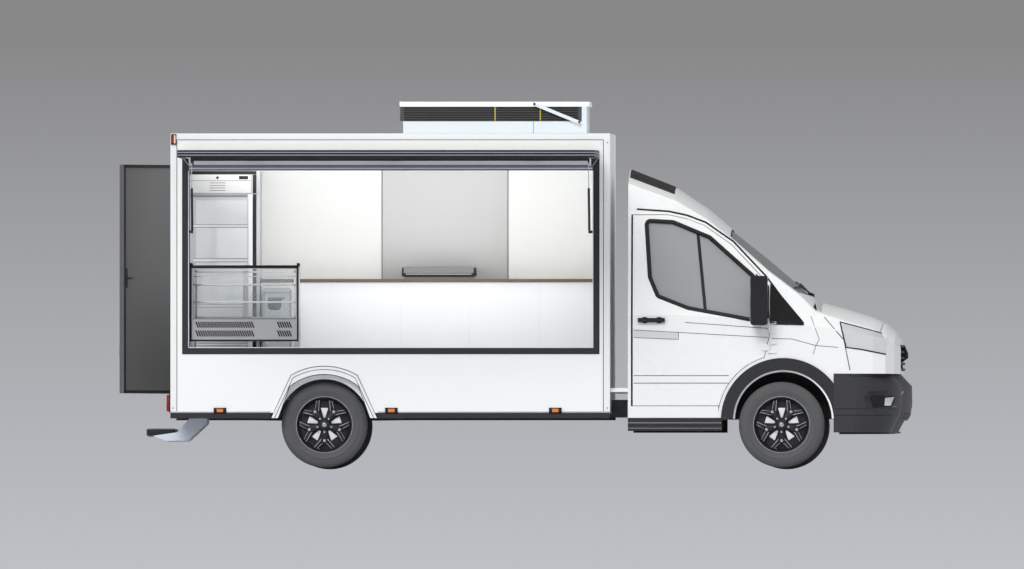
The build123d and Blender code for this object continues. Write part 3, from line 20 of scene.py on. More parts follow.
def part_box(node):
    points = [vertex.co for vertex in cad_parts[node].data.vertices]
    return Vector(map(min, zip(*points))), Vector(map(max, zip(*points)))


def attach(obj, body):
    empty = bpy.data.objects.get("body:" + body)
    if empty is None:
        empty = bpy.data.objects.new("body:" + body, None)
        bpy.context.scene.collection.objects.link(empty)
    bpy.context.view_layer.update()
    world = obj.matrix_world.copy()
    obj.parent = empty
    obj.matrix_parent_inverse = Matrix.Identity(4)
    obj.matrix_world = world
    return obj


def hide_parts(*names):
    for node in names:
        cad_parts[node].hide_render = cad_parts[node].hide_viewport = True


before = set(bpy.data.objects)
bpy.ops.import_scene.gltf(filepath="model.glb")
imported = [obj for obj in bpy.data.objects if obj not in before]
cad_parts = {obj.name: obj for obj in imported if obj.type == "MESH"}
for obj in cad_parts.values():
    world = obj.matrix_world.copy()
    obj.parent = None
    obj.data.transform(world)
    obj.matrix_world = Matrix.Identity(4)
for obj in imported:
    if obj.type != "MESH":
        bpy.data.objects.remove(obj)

log = logging.getLogger("food_truck")

Colour = tuple[float, float, float]
Span = tuple[float, float]
Point = tuple[float, float]
Feed = bpy.types.NodeSocket | float | Sequence[float]

MM = 0.001
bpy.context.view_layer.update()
ORIGIN_X = sum(corner.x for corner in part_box("tyre_rear_right")) / 2 / MM
ORIGIN_Y = sum(corner.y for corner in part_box("rear_axle")) / 2 / MM
TO_FRAME = Matrix.Scale(MM, 4) @ Matrix.Translation((ORIGIN_X, ORIGIN_Y, 0))
HANDS = {-1: "right", 1: "left"}
WALL = 1075.0
REAR_WALL = -1261.0


def node_span(node: str, axis: int) -> Span:
    """Limits of a CAD node along an axis, in vehicle millimetres."""
    low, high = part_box(node)
    shift = (ORIGIN_X, ORIGIN_Y, 0)[axis]
    return (low[axis] / MM - shift, high[axis] / MM - shift)


def around(middle: float, half: float) -> Span:
    """Limits of a stretch given by its middle and half its length."""
    return (middle - half, middle + half)


def srgb(grey: float, green: float | None = None, blue: float | None = None) -> Colour:
    """Linear colour from display values of 0 to 255."""
    values = (grey, grey if green is None else green, grey if blue is None else blue)
    return tuple(((v / 255 + 0.055) / 1.055) ** 2.4 if v > 10 else v / 255 / 12.92 for v in values)


# Finishes


class Surface(Enum):
    """Ways a surface breaks up the light."""

    MOTTLE = "mottle"
    STREAKS = "streaks"
    WEAVE = "weave"
    TREAD_DUST = "tread_dust"


def new_group(name: str, inputs: dict[str, str], outputs: dict[str, str]) -> bpy.types.NodeTree:
    """Shader node group with named sockets and its two end nodes.

    Args:
        name: Name of the group.
        inputs: Socket type of each input by name.
        outputs: Socket type of each output by name.

    Returns:
        The node tree, holding its input and output nodes.
    """
    group = bpy.data.node_groups.new(name, "ShaderNodeTree")
    for label, kind in inputs.items():
        group.interface.new_socket(label, in_out="INPUT", socket_type=f"NodeSocket{kind}")
    for label, kind in outputs.items():
        group.interface.new_socket(label, in_out="OUTPUT", socket_type=f"NodeSocket{kind}")
    group.nodes.new("NodeGroupInput").name = "in"
    group.nodes.new("NodeGroupOutput").name = "out"
    return group


class Sheet:
    """Short hand for adding and joining nodes in one node tree."""

    def __init__(self, tree: bpy.types.NodeTree) -> None:
        """Keep the tree that the nodes go into."""
        self.tree = tree

    def feed(self, socket: bpy.types.NodeSocket, value: Feed) -> None:
        """Set an input to a value, or join it to the output that is given."""
        if isinstance(value, bpy.types.NodeSocket):
            self.tree.links.new(value, socket)
        else:
            socket.default_value = value

    def add(self, kind: str, settings: dict | None = None, **values: Feed) -> bpy.types.Node:
        """Add a node.

        Args:
            kind: Node type without its ShaderNode prefix.
            settings: Properties of the node itself.
            **values: Input values, or the sockets that feed them, with _ for a space.

        Returns:
            The new node.
        """
        node = self.tree.nodes.new(f"ShaderNode{kind}")
        for label, value in (settings or {}).items():
            setattr(node, label, value)
        for label, value in values.items():
            self.feed(node.inputs[label.replace("_", " ")], value)
        return node

    def math(self, operation: str, *values: Feed) -> bpy.types.NodeSocket:
        """Add a Math node and give its result."""
        node = self.add("Math", {"operation": operation})
        for socket, value in zip(node.inputs, values):
            self.feed(socket, value)
        return node.outputs[0]

    def blend(self, factor: Feed, first: Feed, second: Feed) -> bpy.types.NodeSocket:
        """Add a colour Mix node and give its result."""
        node = self.add("Mix", {"data_type": "RGBA"})
        for index, value in ((0, factor), (6, first), (7, second)):
            self.feed(node.inputs[index], value)
        return node.outputs[2]

    def choose(self, factor: Feed, first: Feed, second: Feed) -> bpy.types.NodeSocket:
        """Add a Mix Shader node and give its result."""
        node = self.add("MixShader")
        for socket, value in zip(node.inputs, (factor, first, second)):
            self.feed(socket, value)
        return node.outputs[0]


def blank_material(name: str) -> tuple[bpy.types.Material, Sheet]:
    """New material with an empty node tree, and the sheet that fills it."""
    material = bpy.data.materials.new(name)
    material.use_nodes = True
    material.node_tree.nodes.clear()
    return material, Sheet(material.node_tree)


@cache
def effect_group(surface: Surface) -> bpy.types.NodeTree:
    """Shared node group of one kind of surface: colour, roughness and height over the piece."""
    group = new_group(
        surface.value,
        {"Vector": "Vector", "Colour": "Color", "Shade": "Color", "Spread": "Float",
         "Roughness": "Float"},
        {"Colour": "Color", "Roughness": "Float", "Height": "Float"},
    )
    sheet = Sheet(group)
    given, result = group.nodes["in"].outputs, group.nodes["out"].inputs
    cloud = sheet.add("TexNoise", Vector=given["Vector"], Scale=1.6, Detail=3.0)
    tone = cloud.outputs["Fac"]
    if surface is Surface.STREAKS:
        stretched = sheet.add("Mapping", Vector=given["Vector"], Scale=(9.0, 9.0, 700.0))
        streaks = sheet.add("TexNoise", Vector=stretched.outputs[0], Scale=1.0, Detail=2.0)
        height = streaks.outputs["Fac"]
        tone = sheet.math("MULTIPLY_ADD", height, 0.6, sheet.math("MULTIPLY", tone, 0.4))
    elif surface is Surface.WEAVE:
        warp = sheet.add("TexWave", {"bands_direction": "X"}, Vector=given["Vector"], Scale=95.0)
        weft = sheet.add("TexWave", {"bands_direction": "Z"}, Vector=given["Vector"], Scale=95.0)
        height = sheet.math("MULTIPLY", warp.outputs["Fac"], weft.outputs["Fac"])
        tone = sheet.math("MULTIPLY_ADD", height, 0.5, sheet.math("MULTIPLY", tone, 0.5))
    elif surface is Surface.TREAD_DUST:
        dust = sheet.add("TexNoise", Vector=given["Vector"], Scale=260.0, Detail=4.0)
        height = dust.outputs["Fac"]
        patches = sheet.add("TexNoise", Vector=given["Vector"], Scale=7.0, Detail=6.0)
        worn = sheet.math("MULTIPLY_ADD", height, 0.8, 0.6)
        tone = sheet.math("MULTIPLY", patches.outputs["Fac"], worn)
    else:
        grain = sheet.add("TexNoise", Vector=given["Vector"], Scale=420.0, Detail=2.0)
        height = grain.outputs["Fac"]
    mask = sheet.math("MULTIPLY", tone, given["Spread"])
    sheet.feed(result["Colour"], sheet.blend(mask, given["Colour"], given["Shade"]))
    smoothest = sheet.math("SUBTRACT", given["Roughness"], 0.06)
    sheet.feed(result["Roughness"], sheet.math("MULTIPLY_ADD", tone, 0.12, smoothest))
    sheet.feed(result["Height"], height)
    return group


@dataclass(frozen=True)
class Finish:
    """Finish of a surface: its colour, its gloss and how it is broken up close to."""

    name: str
    colour: Colour
    roughness: float = 0.4
    metallic: float = 0.0
    coat: float = 0.0
    alpha: float = 1.0
    glow: float = 0.0
    surface: Surface = Surface.MOTTLE
    shade: float = 0.72
    spread: float = 0.25
    relief: float = 0.03

    def material(self) -> bpy.types.Material:
        """Material of this finish, made once and then shared."""
        return bpy.data.materials.get(self.name) or self._make()

    def _make(self) -> bpy.types.Material:
        """Build the material's nodes."""
        material, sheet = blank_material(self.name)
        place = sheet.add("TexCoord").outputs["Object"]
        darker = (value * self.shade for value in self.colour)
        effect = sheet.add(
            "Group", {"node_tree": effect_group(self.surface)}, Vector=place,
            Colour=(*self.colour, 1.0), Shade=(*darker, 1.0), Spread=self.spread,
            Roughness=self.roughness,
        ).outputs
        bump = sheet.add("Bump", Strength=0.35, Distance=self.relief * MM * 10,
                         Height=effect["Height"])
        shader = sheet.add(
            "BsdfPrincipled", Base_Color=self._paint(sheet, place, effect["Colour"]),
            Roughness=effect["Roughness"], Normal=bump.outputs["Normal"], Metallic=self.metallic,
            Coat_Weight=self.coat, Coat_Roughness=0.06, Alpha=self.alpha,
        )
        if self.glow:
            sheet.feed(shader.inputs["Emission Color"], (*self.colour, 1.0))
            sheet.feed(shader.inputs["Emission Strength"], self.glow)
        sheet.add("OutputMaterial", Surface=shader.outputs["BSDF"])
        return material

    def _paint(self, sheet: Sheet, place: bpy.types.NodeSocket,
               colour: bpy.types.NodeSocket) -> bpy.types.NodeSocket:
        """Base colour over the surface."""
        return colour


@dataclass(frozen=True)
class RimmedFinish(Finish):
    """Finish of a level panel with a rim of another colour, and fine lines along the rim's edge.

    The middle and half sizes of the panel inside the rim, and the limits of the lines up the
    rim, are metres of the frame.
    """

    middle: Point = (0.0, 0.0)
    half: Point = (1.0, 1.0)
    rim: Colour = (0.01, 0.01, 0.01)
    lines: tuple[Span, ...] = ()
    line_colour: Colour = (0.4, 0.42, 0.5)

    def _paint(self, sheet: Sheet, place: bpy.types.NodeSocket,
               colour: bpy.types.NodeSocket) -> bpy.types.NodeSocket:
        """Base colour of the panel, the rim and the rim's lines."""
        axes = sheet.add("SeparateXYZ", Vector=place).outputs
        beyond = []
        for axis, middle, half in zip(axes, self.middle, self.half):
            off = sheet.math("ABSOLUTE", sheet.math("SUBTRACT", axis, middle))
            beyond.append(sheet.math("GREATER_THAN", off, half))
        rim = sheet.math("MAXIMUM", *beyond)
        paint = sheet.blend(rim, colour, (*self.rim, 1.0))
        for low, high in self.lines:
            off = sheet.math("ABSOLUTE", sheet.math("SUBTRACT", axes[2], (low + high) / 2))
            line = sheet.math("MULTIPLY", sheet.math("LESS_THAN", off, (high - low) / 2), rim)
            paint = sheet.blend(line, paint, (*self.line_colour, 1.0))
        return paint


def flap_finish() -> RimmedFinish:
    """Finish of the flap: a white panel in a black rim with two bright lines round its edge."""
    inner_edge, rim_width = -1167.0, 60.0
    spans = (node_span("hatch_flap", 0), (node_span("hatch_flap", 1)[0], inner_edge))
    middle = tuple((sum(s) / 2 + o) * MM for s, o in zip(spans, (ORIGIN_X, ORIGIN_Y)))
    half = tuple((high - low - 2 * rim_width) / 2 * MM for low, high in spans)
    return RimmedFinish(
        "flap_panel", srgb(246, 247, 245), 0.42, shade=0.97, spread=0.1, relief=0.01, middle=middle,
        half=half, rim=srgb(18, 18, 20), lines=((2.569, 2.5745), (2.5465, 2.552)),
        line_colour=srgb(168, 172, 190),
    )

WHITE_PAINT = Finish(
    "white_paint", srgb(243, 243, 242), 0.28, coat=0.5, shade=0.93, spread=0.04, relief=0.01,
)
WHITE_PANEL = Finish("white_panel", srgb(246, 247, 245), 0.42, shade=0.95, spread=0.04, relief=0.02)
WHITE_PROFILE = Finish(
    "white_profile", srgb(240, 241, 242), 0.36, shade=0.94, spread=0.04, relief=0.01,
)
WHITE_MOULDING = Finish(
    "white_moulding", srgb(240, 241, 243), 0.3, coat=0.3, shade=0.94, spread=0.04,
)
BLACK_FRAME = Finish(
    "black_frame", srgb(22, 22, 24), 0.38, coat=0.1, shade=0.6, spread=0.4, relief=0.02,
)
SEAM_BLACK = Finish("seam_black", srgb(14, 14, 15), 0.6, shade=0.6, spread=0.3, relief=0.03)
SILVER_EDGE = Finish(
    "silver_edge", srgb(186, 190, 200), 0.32, metallic=0.6, surface=Surface.STREAKS, shade=0.8,
    relief=0.01,
)
BLUE_GREY = Finish("blue_grey_coat", srgb(122, 127, 144), 0.4, shade=0.9, spread=0.2)
PALE_LINE = Finish("pale_line", srgb(222, 226, 240), 0.35, shade=0.94, spread=0.15, relief=0.01)
BLACK_PLASTIC = Finish(
    "grained_black_plastic", srgb(37, 37, 39), 0.58, shade=0.7, spread=0.35, relief=0.08,
)
DEEP_BLACK = Finish("deep_black_plastic", srgb(16, 16, 17), 0.5, shade=0.6, spread=0.4, relief=0.06)
GLOSS_BLACK = Finish(
    "gloss_black_plastic", srgb(18, 18, 20), 0.16, coat=0.6, shade=0.7, spread=0.2, relief=0.01,
)
CHASSIS_COAT = Finish("chassis_coat", srgb(40, 40, 42), 0.55, shade=0.6, spread=0.6, relief=0.08)
CAST_IRON = Finish(
    "cast_iron", srgb(70, 69, 68), 0.6, metallic=0.5, shade=0.6, spread=0.6, relief=0.2,
)
FLOOR_SHEET = Finish(
    "kitchen_floor_sheet", srgb(150, 151, 154), 0.45, metallic=0.3, surface=Surface.MOTTLE,
    shade=0.75, relief=0.1,
)
DOOR_GREY = Finish("door_grey", srgb(212, 212, 212), 0.5, shade=0.88, spread=0.3, relief=0.04)
STEEL = Finish(
    "brushed_steel", srgb(186, 187, 190), 0.34, metallic=0.55, surface=Surface.STREAKS, shade=0.85,
)
DARK_STEEL = Finish(
    "dark_steel", srgb(92, 92, 94), 0.4, metallic=0.5, surface=Surface.STREAKS, shade=0.8,
)
SPLASH_PANEL = Finish(
    "splash_panel", srgb(208, 208, 208), 0.4, metallic=0.05, surface=Surface.STREAKS, shade=0.93,
    spread=0.3,
)
CABINET_WHITE = Finish(
    "cabinet_white", srgb(244, 244, 243), 0.45, shade=0.95, spread=0.04, relief=0.02,
)
COUNTER_TOP = Finish(
    "counter_laminate", srgb(116, 98, 76), 0.45, shade=0.6, spread=0.6, relief=0.04,
)
CASE_GREY = Finish("case_grey", srgb(238, 238, 238), 0.42, shade=0.9, spread=0.3, relief=0.03)
BIN_GREY = Finish("bin_grey", srgb(98, 99, 101), 0.5, shade=0.88, spread=0.3, relief=0.06)
CLEAR_GLASS = Finish(
    "clear_glass", srgb(150, 158, 162), 0.05, alpha=0.06, shade=0.95, spread=0.1, relief=0.0,
)
CAB_GLASS = Finish(
    "tinted_glass", srgb(170, 171, 173), 0.05, alpha=0.8, shade=0.9, spread=0.1, relief=0.0,
)
SCREEN_GLASS = Finish(
    "screen_glass", srgb(134, 136, 139), 0.05, alpha=0.72, shade=0.9, spread=0.1, relief=0.0,
)
RIM_BLACK = Finish(
    "rim_black", srgb(24, 24, 26), 0.25, coat=0.5, shade=0.7, spread=0.3, relief=0.02,
)
RIM_BRIGHT = Finish(
    "rim_bright", srgb(196, 198, 202), 0.25, metallic=0.7, surface=Surface.STREAKS, shade=0.8,
)
RUBBER = Finish(
    "tyre_rubber", srgb(80, 80, 81), 0.72, surface=Surface.TREAD_DUST, shade=1.5, spread=0.45,
    relief=0.2,
)
LENS_CLEAR = Finish(
    "clear_lens", srgb(232, 233, 235), 0.08, alpha=0.72, coat=0.4, shade=0.95, spread=0.1,
)
LENS_RED = Finish("red_lens", srgb(150, 18, 20), 0.2, coat=0.6, shade=0.7, spread=0.3)
LENS_AMBER = Finish("amber_lens", srgb(232, 128, 44), 0.2, coat=0.6, shade=0.8, spread=0.3)
BAND_DARK = Finish("louvre_dark", srgb(70, 70, 71), 0.5, shade=0.8, spread=0.3)
ROOF_TRAY = Finish("roof_tray", srgb(222, 228, 234), 0.4, shade=0.94, spread=0.25)
YELLOW_TAPE = Finish("yellow_strap", srgb(186, 168, 58), 0.5, shade=0.8, spread=0.3)
TRIM_PLASTIC = Finish("trim_plastic", srgb(62, 62, 65), 0.6, shade=0.8, spread=0.3, relief=0.1)
SEAT_FABRIC = Finish(
    "seat_fabric", srgb(66, 67, 72), 0.85, surface=Surface.WEAVE, shade=0.6, spread=0.5,
    relief=0.15,
)
ROD_CHROME = Finish("polished_rod", srgb(210, 212, 216), 0.12, metallic=1.0, shade=0.9, spread=0.1)
STEP_GREY = Finish("step_grey", srgb(220, 226, 240), 0.42, shade=0.88, spread=0.3, relief=0.04)
STEP_TREAD = Finish("step_tread", srgb(20, 20, 22), 0.65, shade=0.7, spread=0.4, relief=0.2)
FRIDGE_GLASS = Finish(
    "fridge_glass", srgb(206, 208, 209), 0.08, coat=0.4, shade=0.95, spread=0.15, relief=0.0,
)
GRIDDLE_STEEL = Finish(
    "griddle_steel", srgb(128, 127, 127), 0.38, metallic=0.3, surface=Surface.STREAKS,
)
BUMPER_BLACK = Finish("bumper_black", srgb(54, 54, 56), 0.55, shade=0.7, spread=0.3, relief=0.08)
WINDOW_GREY = Finish("rim_window_grey", srgb(236, 237, 238), 0.4, shade=0.93, spread=0.2)
# Dark grey of the beads that paint shade along the cab's creases and the door moulding's grooves.
CREASE_SHADE_GREY = Finish("painted_crease_shade", srgb(58, 58, 60), 0.5, shade=0.8, spread=0.3)
SHADE_GREY = Finish("shade_grey", srgb(128, 129, 132), 0.5, shade=0.85, spread=0.3)
# Light grey of real parts, and of the painted shade patch over each door handle recess.
LIGHT_GREY = Finish("light_grey_coat", srgb(214, 214, 213), 0.42, shade=0.93, spread=0.2)
MIRROR_GLASS = Finish(
    "mirror_glass", srgb(206, 210, 214), 0.03, metallic=1.0, shade=0.97, spread=0.1, relief=0.0,
)
LAMP_GLOW = Finish(
    "kitchen_lamp", srgb(252, 252, 248), 0.4, glow=1.4, shade=0.98, spread=0.1, relief=0.0,
)
LENS_CREAM = Finish("cream_lens", srgb(232, 222, 190), 0.2, coat=0.6, shade=0.9, spread=0.2)
PLATE_BLANK = Finish("blank_plate", srgb(226, 226, 222), 0.4, shade=0.93, spread=0.15, relief=0.01)
REFLECTOR = Finish("lamp_reflector", srgb(224, 226, 230), 0.18, metallic=0.6, shade=0.9, spread=0.2)
AXLE_COAT = Finish(
    "axle_coat", srgb(52, 52, 54), 0.55, metallic=0.2, shade=0.6, spread=0.6, relief=0.1,
)

NODE_FINISHES: tuple[tuple[Finish, str], ...] = (
    (WHITE_PAINT, "bonnet cab_door_left cab_door_right cab_shell"),
    (WHITE_PANEL, "box_front_wall box_left_wall box_rear_wall box_right_wall box_roof"),
    (WHITE_PROFILE, "edge_profiles"),
    (WHITE_MOULDING, "arch_flares"),
    (BLACK_PLASTIC, "arch_cladding wheelhouses"),
    (BLACK_FRAME, "body_rails hatch_frame strut_barrel_front strut_barrel_rear"),
    (BUMPER_BLACK, "front_bumper"),
    (DEEP_BLACK, "grille"),
    (GLOSS_BLACK, "door_trim_left door_trim_right"),
    (TRIM_PLASTIC, "cab_floor dashboard"),
    (CHASSIS_COAT, "chassis_frame front_suspension"),
    (AXLE_COAT, "rear_axle"),
    (CAST_IRON, "engine_block knuckle_front_left knuckle_front_right"),
    (FLOOR_SHEET, "box_floor"),
    (CABINET_WHITE, "back_counter"),
    (COUNTER_TOP, "worktop"),
    (STEEL, "fridge fridge_door"),
    (GRIDDLE_STEEL, "griddle"),
    (CASE_GREY, "display_case"),
    (BIN_GREY, "waste_bin"),
    (CLEAR_GLASS, "display_glass"),
    (CAB_GLASS, "door_glass_left door_glass_right"),
    (SCREEN_GLASS, "windscreen"),
    (LENS_CLEAR, "headlamps"),
    (LENS_AMBER, "marker_lamps"),
    (LENS_RED, "rear_lamps"),
    (DOOR_GREY, "rear_door"),
    (STEP_GREY, "rear_step"),
    (ROOF_TRAY, "roof_unit"),
    (BAND_DARK, "roof_unit_band"),
    (SEAT_FABRIC, "seats"),
    (ROD_CHROME, "strut_rod_front strut_rod_rear"),
    (flap_finish(), "hatch_flap"),
)


def dress_nodes() -> None:
    """Give every CAD node that stays in view its finish."""
    for finish, names in NODE_FINISHES:
        for name in names.split():
            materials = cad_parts[name].data.materials
            materials.clear()
            materials.append(finish.material())
        log.info("%s on %s", finish.name, names)


# Forms


class Facing(Enum):
    """Planes that an outline is drawn on, with the direction it is extruded in."""

    SIDE = "side"
    LEVEL = "level"
    CROSS = "cross"

    def lift(self, across: float, up: float, depth: float) -> Vector:
        """Point in vehicle millimetres from a point on the plane and a distance off it."""
        if self is Facing.SIDE:
            return Vector((across, depth, up))
        if self is Facing.LEVEL:
            return Vector((across, up, depth))
        return Vector((depth, across, up))

    def flat(self, point: Vector) -> Point:
        """Point on the plane that a point in vehicle millimetres is seen at."""
        if self is Facing.SIDE:
            return (point.x, point.z)
        if self is Facing.LEVEL:
            return (point.x, point.y)
        return (point.y, point.z)


class Skin:
    """Faces of some CAD nodes, that fittings are laid on."""

    NEAR_SHARE = 0.74

    def __init__(self, *nodes: str, share: float = 0.45) -> None:
        """Gather the faces of the nodes, in vehicle millimetres.

        Args:
            *nodes: Names of the nodes.
            share: Part of the way to the plane that a line goes looking for the skin.
        """
        self.share = share
        shell = bmesh.new()
        for name in nodes:
            shell.from_mesh(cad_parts[name].data)
        bmesh.ops.transform(shell, matrix=TO_FRAME.inverted(), verts=shell.verts[:])
        self.tree = BVHTree.FromBMesh(shell)
        shell.free()

    def hit(self, facing: Facing, spot: Point, start: float, lift: float = 0.0) -> Vector:
        """Point where a line square to a plane meets the skin.

        Args:
            facing: Plane that the line is square to.
            spot: Where the line crosses the plane.
            start: Distance off the plane that the line starts from, towards zero.
            lift: Distance of the point off the skin, back along the line.

        Returns:
            The point, or the nearest one of the skin where the line passes through a gap.
        """
        away = math.copysign(1.0, start)
        origin = facing.lift(*spot, start)
        back = facing.lift(0, 0, -away)
        found = self.tree.ray_cast(origin, back, abs(start) * self.share)[0]
        if found is None:
            near_skin = facing.lift(*spot, start * self.NEAR_SHARE)
            found = self.tree.find_nearest(near_skin)[0]
            found = found - facing.lift(*facing.flat(found), 0) + facing.lift(*spot, 0)
        return found + facing.lift(0, 0, away * lift)

    def trace(self, facing: Facing, route: Sequence[Point], start: float, lift: float = 0.0,
              pitch: float = 40.0) -> list[Vector]:
        """Points on the skin along a route drawn on a plane."""
        points = []
        for (a, b), (c, d) in zip(route, route[1:]):
            steps = max(1, round(math.hypot(c - a, d - b) / pitch))
            spots = [(a + (c - a) * i / steps, b + (d - b) * i / steps) for i in range(steps)]
            points += [self.hit(facing, spot, start, lift) for spot in spots]
        return points + [self.hit(facing, route[-1], start, lift)]


def rim_path(node: str, outward: Vector, share: float = 0.35, hand: int = 0) -> list[Vector]:
    """Closed line round the outer face of a CAD node, in vehicle millimetres.

    Args:
        node: Name of the node.
        outward: Unit direction that its outer face looks in.
        share: Least cosine between that direction and the faces that count as the outer face.
        hand: Side of the centre plane that the face is on, or 0 for both.

    Returns:
        The points of the longest edge of that face, in order.
    """
    copy = bmesh.new()
    copy.from_mesh(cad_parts[node].data)
    bmesh.ops.transform(copy, matrix=TO_FRAME.inverted(), verts=copy.verts[:])
    bmesh.ops.remove_doubles(copy, verts=copy.verts[:], dist=0.05)
    copy.normal_update()
    outer = {
        f for f in copy.faces
        if f.normal.dot(outward) > share and f.calc_center_median().y * hand >= 0
    }
    around_edge: dict[bmesh.types.BMVert, list[bmesh.types.BMVert]] = {}
    for line in copy.edges:
        if sum(f in outer for f in line.link_faces) == 1:
            for one, other in (line.verts, reversed(line.verts)):
                around_edge.setdefault(one, []).append(other)
    best, length = [], 0.0
    left = set(around_edge)
    while left:
        here = left.pop()
        walk = [here]
        while True:
            onward = [v for v in around_edge[here] if v in left]
            if not onward:
                break
            here = onward[0]
            left.discard(here)
            walk.append(here)
        span = sum((a.co - b.co).length for a, b in zip(walk, walk[1:]))
        if span > length:
            best, length = [v.co.copy() for v in walk], span
    copy.free()
    return best


def drawn_out(mesh: bmesh.types.BMesh, faces: Sequence[bmesh.types.BMFace],
              shift: Vector) -> list[bmesh.types.BMVert]:
    """Extrude faces along a vector, and give the corners that moved."""
    grown = bmesh.ops.extrude_face_region(mesh, geom=faces)["geom"]
    moved = [g for g in grown if isinstance(g, bmesh.types.BMVert)]
    bmesh.ops.translate(mesh, vec=shift, verts=moved)
    return moved


class Form:
    """A mesh being shaped in vehicle millimetres, and finished as one piece of the scene."""

    SHARP = math.radians(32)
    LEAST = 0.01

    def __init__(self, name: str) -> None:
        """Start an empty piece."""
        self.name = name
        self.mesh = bmesh.new()

    def _round(self, edges: Iterable[bmesh.types.BMEdge], radius: float, segments: int = 2) -> None:
        """Round a set of edges."""
        bmesh.ops.bevel(
            self.mesh, geom=list(edges), offset=radius, segments=segments, profile=0.5,
            affect="EDGES", material=-1, clamp_overlap=True,
        )

    def slab(self, x: Span, y: Span, z: Span, edge: float = 0.0, segments: int = 2) -> "Form":
        """Add a cuboid between limits along each axis, its edges rounded if asked."""
        made = bmesh.ops.create_cube(self.mesh, size=1)["verts"]
        sizes = [abs(s[1] - s[0]) for s in (x, y, z)]
        middle = Vector([(s[0] + s[1]) / 2 for s in (x, y, z)])
        bmesh.ops.scale(self.mesh, vec=sizes, verts=made)
        bmesh.ops.translate(self.mesh, vec=middle, verts=made)
        if edge:
            self._round({e for v in made for e in v.link_edges}, edge, segments)
        return self

    def bar(self, facing: Facing, centre: Point, radius: float, limits: Span, edge: float = 0.0,
            steps: int = 32) -> "Form":
        """Add a round bar square to a plane, between two distances off it."""
        made = bmesh.ops.create_cone(
            self.mesh, cap_ends=True, segments=steps, radius1=radius, radius2=radius,
            depth=abs(limits[1] - limits[0]),
        )["verts"]
        turn = {
            Facing.SIDE: Matrix.Rotation(math.radians(-90), 4, "X"),
            Facing.LEVEL: Matrix.Identity(4),
            Facing.CROSS: Matrix.Rotation(math.radians(90), 4, "Y"),
        }[facing]
        if limits[1] < limits[0]:
            turn = turn @ Matrix.Rotation(math.radians(180), 4, "X")
        middle = facing.lift(centre[0], centre[1], (limits[0] + limits[1]) / 2)
        bmesh.ops.transform(self.mesh, matrix=Matrix.Translation(middle) @ turn, verts=made)
        if edge:
            edges = {e for v in made for e in v.link_edges}
            self._round({
                e for e in edges if sum(len(f.verts) > 4 for f in e.link_faces) == 1
            }, edge)
        return self

    def prism(self, facing: Facing, outline: Sequence[Point], limits: Span,
              edge: float = 0.0) -> "Form":
        """Add a straight-sided outline extruded between two distances off its plane."""
        corners = [self.mesh.verts.new(facing.lift(a, b, limits[0])) for a, b in outline]
        shift = facing.lift(0, 0, limits[1] - limits[0])
        moved = drawn_out(self.mesh, [self.mesh.faces.new(corners)], shift)
        if edge:
            self._round({e for v in corners + moved for e in v.link_edges}, edge)
        return self

    def arch(self, centre: Point, radii: Span, turns: Span, limits: Span,
             steps: int = 36) -> "Form":
        """Add part of a flat ring, square to the vehicle's side.

        Args:
            centre: Middle of the ring as (x, z).
            radii: Inner and outer radius.
            turns: First and last angle in degrees, from forward towards up.
            limits: Distances off the centre plane that it lies between.
            steps: Number of steps round.

        Returns:
            This form.
        """
        low, high = (Facing.SIDE.lift(centre[0] + r, centre[1], limits[0]) for r in radii)
        line = self.mesh.edges.new((self.mesh.verts.new(low), self.mesh.verts.new(high)))
        hub = Facing.SIDE.lift(*centre, limits[0])
        bmesh.ops.rotate(self.mesh, cent=hub, verts=line.verts[:],
                         matrix=Matrix.Rotation(-math.radians(turns[0]), 3, "Y"))
        bmesh.ops.spin(
            self.mesh, geom=line.verts[:] + [line], cent=hub, axis=(0, -1, 0), dvec=(0, 0, 0),
            angle=math.radians(turns[1] - turns[0]), steps=steps, use_merge=False,
            use_duplicate=False,
        )
        flat = [
            f for f in self.mesh.faces
            if all(abs(v.co.y - limits[0]) < self.LEAST for v in f.verts)
        ]
        drawn_out(self.mesh, flat, Vector((0, limits[1] - limits[0], 0)))
        return self

    def turned(self, profile: Sequence[Point], centre: Vector, axis: Vector,
               steps: int = 72) -> "Form":
        """Add a profile spun about an axis.

        Args:
            profile: Closed outline as (radius, distance along the axis).
            centre: Point on the axis at distance zero.
            axis: Unit direction of the axis, square to z.
            steps: Number of steps round.

        Returns:
            This form.
        """
        up = Vector((0, 0, 1))
        ring = [
            self.mesh.verts.new(centre + axis * along + up * radius) for radius, along in profile
        ]
        face = self.mesh.faces.new(ring)
        edges = list(face.edges)
        bmesh.ops.delete(self.mesh, geom=[face], context="FACES_ONLY")
        bmesh.ops.spin(
            self.mesh, geom=ring + edges, cent=centre, axis=axis, dvec=(0, 0, 0),
            angle=math.tau, steps=steps, use_merge=True, use_duplicate=False,
        )
        bmesh.ops.remove_doubles(self.mesh, verts=self.mesh.verts[:], dist=self.LEAST)
        return self

    def bead(self, path: Sequence[Vector], radius: float, closed: bool = False) -> "Form":
        """Add a round strip along a path."""
        curve = bpy.data.curves.new(self.name, "CURVE")
        curve.dimensions = "3D"
        curve.bevel_depth = radius
        curve.bevel_resolution = 1
        curve.use_fill_caps = True
        line = curve.splines.new("POLY")
        line.points.add(len(path) - 1)
        for point, spot in zip(line.points, path):
            point.co = (*spot, 1.0)
        line.use_cyclic_u = closed
        holder = bpy.data.objects.new(self.name, curve)
        mesh = bpy.data.meshes.new_from_object(holder)
        self.mesh.from_mesh(mesh)
        bpy.data.objects.remove(holder)
        bpy.data.meshes.remove(mesh)
        return self

